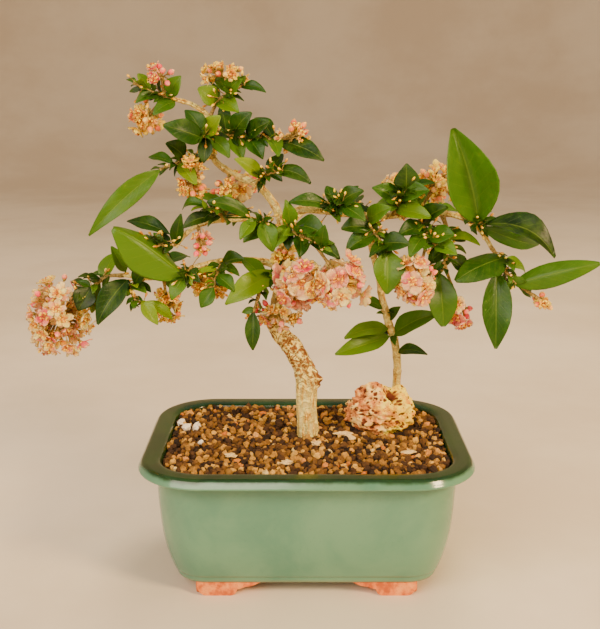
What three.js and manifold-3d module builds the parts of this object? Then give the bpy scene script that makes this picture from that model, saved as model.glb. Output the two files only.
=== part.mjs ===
import * as THREE from "three";
import { mergeVertices } from "three/addons/utils/BufferGeometryUtils.js";
import Module from "manifold-3d";

// A Barbados cherry bonsai in its glazed pot, with the stone that stands beside it.
// Millimetres, +Z up, the pot's front towards -Y.
// Origin: the middle of the plane that the pot's feet stand on.

// Driving dimensions of the pot
const RIM_LENGTH = 203;
const RIM_WIDTH = 152;
const RIM_HEIGHT = 84;
const RIM_CORNER = 40;
const SMALLEST_CORNER = 14;
const FOOT_HEIGHT = 8.5;
const FLOOR_HEIGHT = 13;
const DRAIN_RADIUS = 6.5;
const DRAIN_OFFSET = 32;
const DRAIN_SIDES = 20;
const SCREEN_SIDE = 24;
const SCREEN_THICKNESS = 0.9;

// Driving dimensions of the filling and the plant
const SOIL_HEIGHT = 81.6;
const CLEARANCE = 0.35;
const FINEST_EDGE = 0.02;
const BLADE_THICKNESS = 1.3;
const PETIOLE_RADIUS = 0.65;
const PEDICEL_RADIUS = 0.6;
const BUD_LENGTH = 4.2;
const BUD_RADIUS = 1.7;
const STEM_SIDES = 6;
const TWIG_SIDES = 4;
const GOLDEN_ANGLE = Math.PI * (3 - Math.sqrt(5));

// The plant was laid out as it is seen from the front. Each of its points is [x, z, y]: x and z
// are read on the upright plane through the pot's middle, and the depth y then moves the point
// away from the eye or towards it, along the line of sight.
const EYE = new THREE.Vector3(-4, -600, 308);

const BARK = { color: 0xcba884, roughness: 0.85, metalness: 0 };
const LEAF = { color: 0x4f7a1c, roughness: 0.5, metalness: 0 };
const PINK = { color: 0xe08a90, roughness: 0.6, metalness: 0 };
const PEACH = { color: 0xf2c9a0, roughness: 0.6, metalness: 0 };
const GLAZE = { color: 0x7fa086, roughness: 0.25, metalness: 0 };
const GRIT = { color: 0x6b4a2c, roughness: 0.95, metalness: 0 };
const STONE = { color: 0xcf9f7e, roughness: 0.9, metalness: 0 };
const MESH_SCREEN = { color: 0x1f2a24, roughness: 0.6, metalness: 0 };

const wasm = await Module();
wasm.setup();

// Solids: a plain mesh of points and triangles becomes a solid that can be joined and cut

function solidFrom(geometry) {
  geometry.deleteAttribute("normal");
  geometry.deleteAttribute("uv");
  const merged = mergeVertices(geometry, 1e-4);
  return new wasm.Manifold(new wasm.Mesh({
    numProp: 3,
    vertProperties: new Float32Array(merged.attributes.position.array),
    triVerts: new Uint32Array(merged.index.array),
  }));
}

function solidFromPoints(points, triangles) {
  const geometry = new THREE.BufferGeometry().setFromPoints(points);
  geometry.setIndex(triangles.flat());
  return solidFrom(geometry);
}

function join(solids) {
  let whole = solids[0];
  for (const solid of solids.slice(1)) {
    whole = whole.add(solid);
  }
  return whole;
}

// Loose scraps that a cut leaves behind are dropped.
function largestPiece(solid) {
  const pieces = solid.decompose();
  pieces.sort((one, other) => other.volume() - one.volume());
  return pieces[0];
}

// Slivers finer than the finish are smoothed away.
function meshOf(name, solid, material) {
  const data = solid.simplify(FINEST_EDGE).getMesh();
  const geometry = new THREE.BufferGeometry();
  geometry.setAttribute("position", new THREE.BufferAttribute(data.vertProperties, 3));
  geometry.setIndex(new THREE.BufferAttribute(data.triVerts, 1));
  const mesh = new THREE.Mesh(geometry, new THREE.MeshStandardMaterial(material));
  mesh.name = name;
  return mesh;
}

// A closed skin over rings of equal count, each ring anticlockwise about the way it travels.
// A tip, where given, closes the far end in a point.
function loft(rings, tip = null) {
  const count = rings[0].length;
  const points = rings.flat();
  const triangles = [];
  for (let ring = 0; ring < rings.length - 1; ring += 1) {
    for (let step = 0; step < count; step += 1) {
      const here = ring * count + step;
      const beside = ring * count + (step + 1) % count;
      triangles.push([here, beside, beside + count], [here, beside + count, here + count]);
    }
  }
  const last = (rings.length - 1) * count;
  for (let step = 1; step < count - 1; step += 1) {
    triangles.push([0, step + 1, step]);
    if (!tip) {
      triangles.push([last, last + step, last + step + 1]);
    }
  }
  if (tip) {
    const end = points.push(tip) - 1;
    for (let step = 0; step < count; step += 1) {
      triangles.push([last + step, last + (step + 1) % count, end]);
    }
  }
  return solidFromPoints(points, triangles);
}

// The pot: rounded-rectangle rings, from the base up the outside, over the lip and down inside

const CORNER_STEPS = 5;
const LONG_SIDE_STEPS = 2;
const SHORT_SIDE_STEPS = 1;

// A level ring set in from the rim's outer edge
function potRing(inset, height) {
  const halfX = RIM_LENGTH / 2 - inset;
  const halfY = RIM_WIDTH / 2 - inset;
  const corner = Math.max(RIM_CORNER - inset, SMALLEST_CORNER);
  const points = [];
  const signs = [[1, -1], [1, 1], [-1, 1], [-1, -1]];
  signs.forEach(([signX, signY], index) => {
    const centre = [signX * (halfX - corner), signY * (halfY - corner)];
    const first = (index - 1) * Math.PI / 2;
    for (let step = 0; step < CORNER_STEPS; step += 1) {
      const angle = first + step / (CORNER_STEPS - 1) * Math.PI / 2;
      points.push(new THREE.Vector3(
        centre[0] + corner * Math.cos(angle), centre[1] + corner * Math.sin(angle), height));
    }
    const from = points[points.length - 1];
    const along = index % 2 === 0 ? SHORT_SIDE_STEPS : LONG_SIDE_STEPS;
    const to = index % 2 === 0
      ? new THREE.Vector3(from.x, -from.y, height)
      : new THREE.Vector3(-from.x, from.y, height);
    for (let step = 1; step <= along; step += 1) {
      points.push(from.clone().lerp(to, step / (along + 1)));
    }
  });
  return points;
}

// Insets and heights of the pot's outside, lip and inside
const POT_OUTSIDE = [
  [34, FOOT_HEIGHT], [22.6, 9.5], [19.6, 14.5], [15.5, 28], [12, 52], [10.8, 77.5],
];
const POT_LIP = [[1, 78], [0, 80.2], [1, RIM_HEIGHT - 0.3], [11.5, RIM_HEIGHT]];
const POT_INSIDE = [[14, 81.5], [17.5, 42], [21.5, 24], [29, 15], [38, FLOOR_HEIGHT]];

function makePot() {
  const profile = [...POT_OUTSIDE, ...POT_LIP, ...POT_INSIDE];
  const shell = loft(profile.map(([inset, height]) => potRing(inset, height)));
  const drains = [-1, 1].map((side) => drainCutter(side));
  return join([shell, ...makeFeet()]).subtract(join(drains));
}

function drainCutter(side) {
  const depth = 2 * FLOOR_HEIGHT;
  const cutter = new THREE.CylinderGeometry(DRAIN_RADIUS, DRAIN_RADIUS, depth, DRAIN_SIDES);
  cutter.rotateX(Math.PI / 2);
  cutter.translate(side * DRAIN_OFFSET, 0, FLOOR_HEIGHT - DRAIN_RADIUS / 2);
  return solidFrom(cutter);
}

// Each foot wraps a corner of the base with two legs, and each leg's inner end is cut to a
// cloud scroll that rises to the base in two scallops.
const FOOT_OUTER_X = 67;
const FOOT_OUTER_Y = 53;
const LEG_LENGTH_X = 40;
const LEG_LENGTH_Y = 27;
const LEG_WIDTH = 11;
const FOOT_SINK = 1.5;
const FOOT_ROUND = 6;
const SCROLL_RADIUS = 4.2;

// The side view of one leg, from its outer end at 0 to its inner end at the given length
function legOutline(length) {
  const top = FOOT_HEIGHT + FOOT_SINK;
  const outline = new THREE.Shape();
  outline.moveTo(0, top);
  outline.lineTo(0, FOOT_ROUND);
  outline.absarc(FOOT_ROUND, FOOT_ROUND, FOOT_ROUND, Math.PI, Math.PI * 1.5, false);
  outline.lineTo(length / 2, 0);
  outline.absarc(length / 2, SCROLL_RADIUS, SCROLL_RADIUS, -Math.PI / 2, 0, false);
  outline.quadraticCurveTo(length * 0.68, SCROLL_RADIUS * 1.1, length * 0.74, FOOT_ROUND);
  outline.quadraticCurveTo(length * 0.84, FOOT_ROUND * 0.93, length, top);
  return outline;
}

function makeLeg(length, width) {
  const leg = new THREE.ExtrudeGeometry(legOutline(length), {
    depth: width, steps: 1, bevelEnabled: false, curveSegments: 2,
  });
  leg.rotateX(Math.PI / 2);
  leg.translate(0, width, 0);
  return leg;
}

function makeFeet() {
  const feet = [];
  for (const signX of [-1, 1]) {
    for (const signY of [-1, 1]) {
      const alongX = makeLeg(LEG_LENGTH_X, LEG_WIDTH);
      const alongY = makeLeg(LEG_LENGTH_Y, LEG_WIDTH);
      alongY.rotateZ(Math.PI / 2);
      alongY.translate(LEG_WIDTH, 0, 0);
      const foot = solidFrom(alongX).add(solidFrom(alongY));
      const turned = signX < 0 ? foot : foot.mirror([1, 0, 0]);
      const placed = signY < 0 ? turned : turned.mirror([0, 1, 0]);
      feet.push(placed.translate([signX * FOOT_OUTER_X, signY * FOOT_OUTER_Y, 0]));
    }
  }
  return feet;
}

// The drain screens: plastic net squares that lie on the pot's floor over the drain holes

const SCREEN_CELLS = 2;
const SCREEN_BAR = 2;

function boxAt(width, depth, height, x, y, low) {
  const box = new THREE.BoxGeometry(width, depth, height);
  box.translate(x, y, low + height / 2);
  return solidFrom(box);
}

function makeScreen(side) {
  const middle = side * DRAIN_OFFSET;
  const pitch = (SCREEN_SIDE - SCREEN_BAR) / SCREEN_CELLS;
  const cell = pitch - SCREEN_BAR;
  const start = (pitch - SCREEN_SIDE + SCREEN_BAR) / 2;
  let plate = boxAt(SCREEN_SIDE, SCREEN_SIDE, SCREEN_THICKNESS, middle, 0, FLOOR_HEIGHT);
  for (let column = 0; column < SCREEN_CELLS; column += 1) {
    for (let row = 0; row < SCREEN_CELLS; row += 1) {
      const x = middle + start + column * pitch;
      const y = start + row * pitch;
      plate = plate.subtract(boxAt(cell, cell, SCREEN_THICKNESS * 3, x, y,
        FLOOR_HEIGHT - SCREEN_THICKNESS));
    }
  }
  return plate;
}

// The soil: it fills the pot a hair clear of the wall, and its top is rough with grit

const SOIL_BASE = FLOOR_HEIGHT + SCREEN_THICKNESS + CLEARANCE;
const SOIL_RINGS = 6;
const GRIT_RELIEF = 1.1;
const SOIL_SWELL = 1.2;

// The top swells a little to the middle, and the grit ripples it up and down.
function soilTop(x, y) {
  const swell = SOIL_SWELL * (Math.cos(x / 45) * Math.cos(y / 40) - 0.8);
  const grit = Math.sin(x * 1.9 + 3 * Math.sin(y * 0.8)) * Math.cos(y * 1.7 + 2 * Math.sin(x * 0.6));
  return SOIL_HEIGHT + swell + GRIT_RELIEF * grit;
}

// Insets and heights of the soil's sides, which follow the pot's inside
const SOIL_SIDES = [[36, SOIL_BASE], [29, 16], [21.5, 24.6], [17.5, 42.6], [14.4, 79.5]];

function makeSoil() {
  const rings = SOIL_SIDES.map(([inset, height]) => potRing(inset + CLEARANCE, height));
  const edge = rings[rings.length - 1];
  for (let ring = 0; ring < SOIL_RINGS; ring += 1) {
    const reach = 1 - (ring + 0.4) / SOIL_RINGS;
    rings.push(edge.map((point) => new THREE.Vector3(
      point.x * reach, point.y * reach, soilTop(point.x * reach, point.y * reach))));
  }
  return loft(rings);
}

// The stone: a pitted, two-peaked lump, bedded a few millimetres into the grit

const STONE_CENTRE = new THREE.Vector3(48.8, 19, 92.9);
const STONE_HALF = new THREE.Vector3(25, 16.6, 16.6);

// How far the stone's skin stands out in a direction: two peaks, a saddle and broad lumps
function stoneSwell(way) {
  const leftPeak = 0.3 * Math.exp(-((way.x + 0.42) ** 2 + (way.y + 0.1) ** 2) * 9) * Math.max(way.z, 0);
  const rightPeak = 0.34 * Math.exp(-((way.x - 0.3) ** 2 + way.y ** 2) * 11) * Math.max(way.z, 0);
  const lumps = 0.07 * Math.sin(7 * way.x + 2) * Math.cos(6 * way.y - 5 * way.z);
  const knobs = 0.04 * Math.sin(13 * way.y + 4 * way.x) * Math.sin(12 * way.z + 1);
  return 0.94 + leftPeak + rightPeak + lumps + knobs;
}

function makeStone(grow = 0) {
  const lump = new THREE.IcosahedronGeometry(1, 3);
  lump.deleteAttribute("normal");
  lump.deleteAttribute("uv");
  const skin = mergeVertices(lump, 1e-4);
  const spots = skin.attributes.position;
  for (let index = 0; index < spots.count; index += 1) {
    const way = new THREE.Vector3().fromBufferAttribute(spots, index).normalize();
    const reach = stoneSwell(way);
    const spot = way.clone().multiply(STONE_HALF).multiplyScalar(reach);
    spot.addScaledVector(way, grow).add(STONE_CENTRE);
    spots.setXYZ(index, spot.x, spot.y, spot.z);
  }
  return solidFrom(skin);
}

// Wood: a tapering limb along a smooth curve through its points

function sighted([x, z, y]) {
  const reach = 1 + y / -EYE.y;
  return new THREE.Vector3(EYE.x + (x - EYE.x) * reach, y, EYE.z + (z - EYE.z) * reach);
}

// Along a limb the radius runs straight between the values given, evenly spread.
function radiusAt(radii, t) {
  const place = t * (radii.length - 1);
  const index = Math.min(Math.floor(place), radii.length - 2);
  return THREE.MathUtils.lerp(radii[index], radii[index + 1], place - index);
}

function limb(points, radii, sides, steps, grow = 0, bark = 0) {
  const curve = new THREE.CatmullRomCurve3(points);
  const frames = curve.computeFrenetFrames(steps, false);
  const rings = [];
  for (let step = 0; step <= steps; step += 1) {
    const t = step / steps;
    const centre = curve.getPointAt(t);
    const ring = [];
    for (let side = 0; side < sides; side += 1) {
      const angle = side / sides * Math.PI * 2;
      const lump = 1 + bark * Math.sin(side * 2.4 + step * 1.7) * Math.cos(side * 1.1 - step * 0.9);
      const radius = radiusAt(radii, t) * lump + grow;
      ring.push(centre.clone()
        .addScaledVector(frames.normals[step], radius * Math.cos(angle))
        .addScaledVector(frames.binormals[step], radius * Math.sin(angle)));
    }
    rings.push(ring);
  }
  return loft(rings);
}

// The trunk bends over the pot's middle and forks twice. [x, z, y] and radius of each point.
const TRUNK = [
  [0, 70, 6], [1, 84, 6], [0, 100, 6], [0, 115, 6], [-1, 125, 6], [-5, 135, 6],
  [-10, 143, 6], [-15, 149, 6], [-19, 156, 6], [-19, 165, 6], [-17, 176, 5], [-15, 190, 4],
  [-14, 205, 3], [-14, 218, 2], [-14.5, 226, 2],
];
const TRUNK_RADII = [7.6, 6.9, 6.2, 6.0, 5.8, 5.6, 5.4, 4.7, 3.9, 3.4, 3.2, 3.0, 3.0, 2.8, 2.2];
const TRUNK_BARK = 0.1;

// Main limbs: route and radii
const LIMBS = [
  {
    route: [[-14, 216, 2], [-20, 232, 4], [-30, 243, 6], [-45, 250, 8], [-55, 258, 10],
      [-57, 272, 12], [-58, 283, 12], [-67, 290, 10], [-80, 294, 6]],
    radii: [2.5, 2.1, 1.9, 1.8, 1.6, 1.3, 1.1],
  },
  {
    route: [[-14, 218, 2], [-7, 227, 0], [6, 228, -4], [22, 226, -8], [40, 224, -8], [60, 225, -4],
      [82, 226, 0], [97, 222, 0], [107, 214, -2], [114, 203, -4]],
    radii: [2.6, 2.4, 2.2, 2.0, 1.9, 1.7, 1.5, 1.2],
  },
  {
    route: [[-14, 208, 3], [-24, 217, 0], [-34, 222, -4], [-50, 222, -8], [-62, 220, -10],
      [-73, 214, -12], [-80, 205, -14]],
    radii: [2.5, 2.1, 1.9, 1.7, 1.4, 1.2],
  },
  {
    route: [[-15, 188, 4], [-22, 195, 3], [-38, 197, 0], [-55, 196, -4], [-70, 192, -6],
      [-86, 187, -6], [-100, 186, -4], [-114, 188, -3]],
    radii: [2.4, 2.0, 1.8, 1.6, 1.4, 1.1],
  },
  {
    route: [[-14, 212, 3], [-8, 221, 15], [0, 228, 28], [8, 231, 39]],
    radii: [2.3, 1.8, 1.4, 1.1],
  },
];
const KNOB = { centre: [7.2, 122, 5], radius: 3.6 };

function makeTrunk(grow = 0) {
  const stem = limb(TRUNK.map(sighted), TRUNK_RADII, 9, 20, grow, TRUNK_BARK);
  const limbs = LIMBS.map(({ route, radii }) => (
    limb(route.map(sighted), radii, 5, route.length, grow)));
  const knob = new THREE.IcosahedronGeometry(KNOB.radius + grow, 0);
  knob.translate(...sighted(KNOB.centre).toArray());
  return join([stem, ...limbs, solidFrom(knob)]);
}

// Leaves: a folded, arched blade on a short stalk

function nearestOnRoute(route, spot) {
  let best = route[0];
  for (let index = 0; index < route.length - 1; index += 1) {
    const near = new THREE.Line3(route[index], route[index + 1])
      .closestPointToPoint(spot, true, new THREE.Vector3());
    if (near.distanceTo(spot) < best.distanceTo(spot)) {
      best = near;
    }
  }
  return best;
}

// The face of a hand-placed leaf looks at the eye, then turns about the midrib by its roll:
// towards the sky where the roll is positive, towards the ground where it is negative.
function faceToEye(base, tip, roll) {
  const way = tip.clone().sub(base).normalize();
  const face = EYE.clone().sub(base).normalize();
  face.addScaledVector(way, -face.dot(way)).normalize();
  const side = new THREE.Vector3().crossVectors(way, face);
  if (side.z < 0) {
    side.negate();
  }
  const angle = THREE.MathUtils.degToRad(roll);
  return face.multiplyScalar(Math.cos(angle)).addScaledVector(side, Math.sin(angle));
}

// Half-width of a blade as a share of its widest, at shares of its length
const LARGE_BLADE = [[0.1, 0.4], [0.36, 0.97], [0.66, 0.84], [0.87, 0.4]];
const MIDDLE_BLADE = [[0.28, 0.94], [0.68, 0.8]];
const SMALL_BLADE = [[0.45, 1]];
const LARGE_LEAF = 30;
const SMALL_LEAF = 20;
const FOLD = 0.22;
const GROWN_REACH = 3;
const GROWN_THICKNESS = 1.4;

// Four corners of a flat section: right edge, top, left edge, underside
function section(centre, side, up, reach, lift, thick) {
  const edge = centre.clone().addScaledVector(up, lift);
  return [
    edge.clone().addScaledVector(side, reach),
    centre.clone().addScaledVector(up, thick),
    edge.clone().addScaledVector(side, -reach),
    centre.clone().addScaledVector(up, -thick),
  ];
}

// A small diamond section square to an axis, turned like the blade that it leads to
function stalkSection(centre, axis, up, side, radius) {
  const across = new THREE.Vector3().crossVectors(up, axis);
  if (across.length() < 0.3) {
    across.copy(side).addScaledVector(axis, -side.dot(axis));
  }
  across.normalize();
  const other = new THREE.Vector3().crossVectors(axis, across);
  return section(centre, across, other, radius, 0, radius);
}

// The skin runs from the stem's middle along the stalk and over the blade to its tip. Both
// faces are split into triangles alike, so that they never cross.
function makeLeaf({ heel, base, tip, width, face, arch }, grow = 0) {
  const along = tip.clone().sub(base);
  const length = along.length();
  const way = along.clone().divideScalar(length);
  const up = face.clone().addScaledVector(way, -face.dot(way)).normalize();
  const side = new THREE.Vector3().crossVectors(up, way);
  const half = width / 2;
  const stalk = base.clone().sub(heel);
  const stalkWay = stalk.length() > 1 ? stalk.normalize() : way;
  const bend = stalkWay.clone().add(way).normalize();
  const radius = PETIOLE_RADIUS + grow;
  const points = stalkSection(heel, stalkWay, up, side, radius);
  if (heel.distanceTo(base) > 1) {
    points.push(...stalkSection(base, bend, up, side, radius));
  }
  const middling = length > SMALL_LEAF ? MIDDLE_BLADE : SMALL_BLADE;
  const profile = length > LARGE_LEAF ? LARGE_BLADE : middling;
  for (const [t, share] of profile) {
    const rib = base.clone().addScaledVector(along, t)
      .addScaledVector(up, arch * length * 4 * t * (1 - t));
    const thick = BLADE_THICKNESS / 2 + grow * GROWN_THICKNESS;
    const reach = half * share + grow * GROWN_REACH;
    points.push(...section(rib, side, up, reach, FOLD * reach, thick));
  }
  const end = points.push(tip.clone().addScaledVector(way, grow * GROWN_REACH)) - 1;
  const triangles = [[0, 3, 2], [0, 2, 1]];
  for (let first = 0; first < points.length - 5; first += 4) {
    const [right, top, left, low] = [first, first + 1, first + 2, first + 3];
    triangles.push(
      [right, top, top + 4], [right, top + 4, right + 4],
      [left, top + 4, top], [left, left + 4, top + 4],
      [right, low + 4, low], [right, right + 4, low + 4],
      [left, low, low + 4], [left, low + 4, left + 4]);
  }
  const last = end - 4;
  triangles.push([last, last + 1, end], [last + 1, last + 2, end]);
  triangles.push([last + 2, last + 3, end], [last + 3, last, end]);
  return solidFromPoints(points, triangles);
}

// Two directions square to an axis and to each other
function squareTo(axis) {
  const spare = Math.abs(axis.z) > 0.9 ? new THREE.Vector3(1, 0, 0) : new THREE.Vector3(0, 0, 1);
  const across = new THREE.Vector3().crossVectors(spare, axis).normalize();
  return [across, new THREE.Vector3().crossVectors(axis, across)];
}

// A ring square to an axis, its first corner turned as near to a hint as the axis lets it
function ringAt(centre, axis, radius, sides, hint) {
  const across = hint.clone().addScaledVector(axis, -hint.dot(axis)).normalize();
  const other = new THREE.Vector3().crossVectors(axis, across);
  return Array.from({ length: sides }, (unused, side) => {
    const angle = (side + 0.5) / sides * Math.PI * 2;
    return centre.clone()
      .addScaledVector(across, radius * Math.cos(angle))
      .addScaledVector(other, radius * Math.sin(angle));
  });
}

// The same small random draw for every spray and bunch, each from its own seed
function seeded(seed) {
  let state = seed * 7919 + 17;
  return () => {
    state = state * 16807 % 2147483647;
    return state / 2147483647;
  };
}

function pointOnRoute(route, t) {
  const place = Math.min(t, 0.9999) * (route.length - 1);
  const index = Math.floor(place);
  return route[index].clone().lerp(route[index + 1], place - index);
}

// Spots that leaves and blooms already take, each with the spray or bunch that owns it
const taken = [];

function take(spots, owner) {
  spots.forEach((spot) => taken.push({ spot, owner }));
}

function isFree(spots, owner, fromOthers, fromOwn) {
  return taken.every((mark) => spots.every((spot) => (
    mark.spot.distanceTo(spot) > (mark.owner === owner ? fromOwn : fromOthers))));
}

const LEAF_MARKS = [0.35, 0.65, 0.95];

function marksOf({ base, tip }) {
  return LEAF_MARKS.map((t) => base.clone().lerp(tip, t));
}

// Leaves that fill a spray wind up its stem by the golden angle, faces to the sky. One that
// would lie on a neighbour is left out.
const FILL_LEAN = 0.55;
const FILL_SHORTEST = 0.68;
const FILL_WIDTH = 0.5;
const FILL_ARCH = 0.07;
const CLEAR_OF_OTHERS = 7;
const CLEAR_OF_OWN = 5;

function fillLeaves(route, count, longest, owner, random) {
  const leaves = [];
  const axis = route[route.length - 1].clone().sub(route[0]).normalize();
  const [across, other] = squareTo(axis);
  const turn = random() * Math.PI * 2;
  for (let index = 0; index < count; index += 1) {
    const t = 0.2 + 0.8 * (index + 0.6) / count;
    const angle = turn + index * GOLDEN_ANGLE;
    const length = longest * (FILL_SHORTEST + (1 - FILL_SHORTEST) * random());
    const base = pointOnRoute(route, t);
    const way = axis.clone().multiplyScalar(FILL_LEAN)
      .addScaledVector(across, Math.cos(angle))
      .addScaledVector(other, Math.sin(angle));
    way.z = way.z * 0.6 + 0.25 - 0.3 * random();
    way.normalize();
    const leaf = {
      base,
      tip: base.clone().addScaledVector(way, length),
      width: length * FILL_WIDTH,
      face: new THREE.Vector3(0, -0.45, 1),
      arch: FILL_ARCH,
    };
    if (isFree(marksOf(leaf), owner, CLEAR_OF_OTHERS, CLEAR_OF_OWN)) {
      take(marksOf(leaf), owner);
      leaves.push(leaf);
    }
  }
  return leaves;
}

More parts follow.
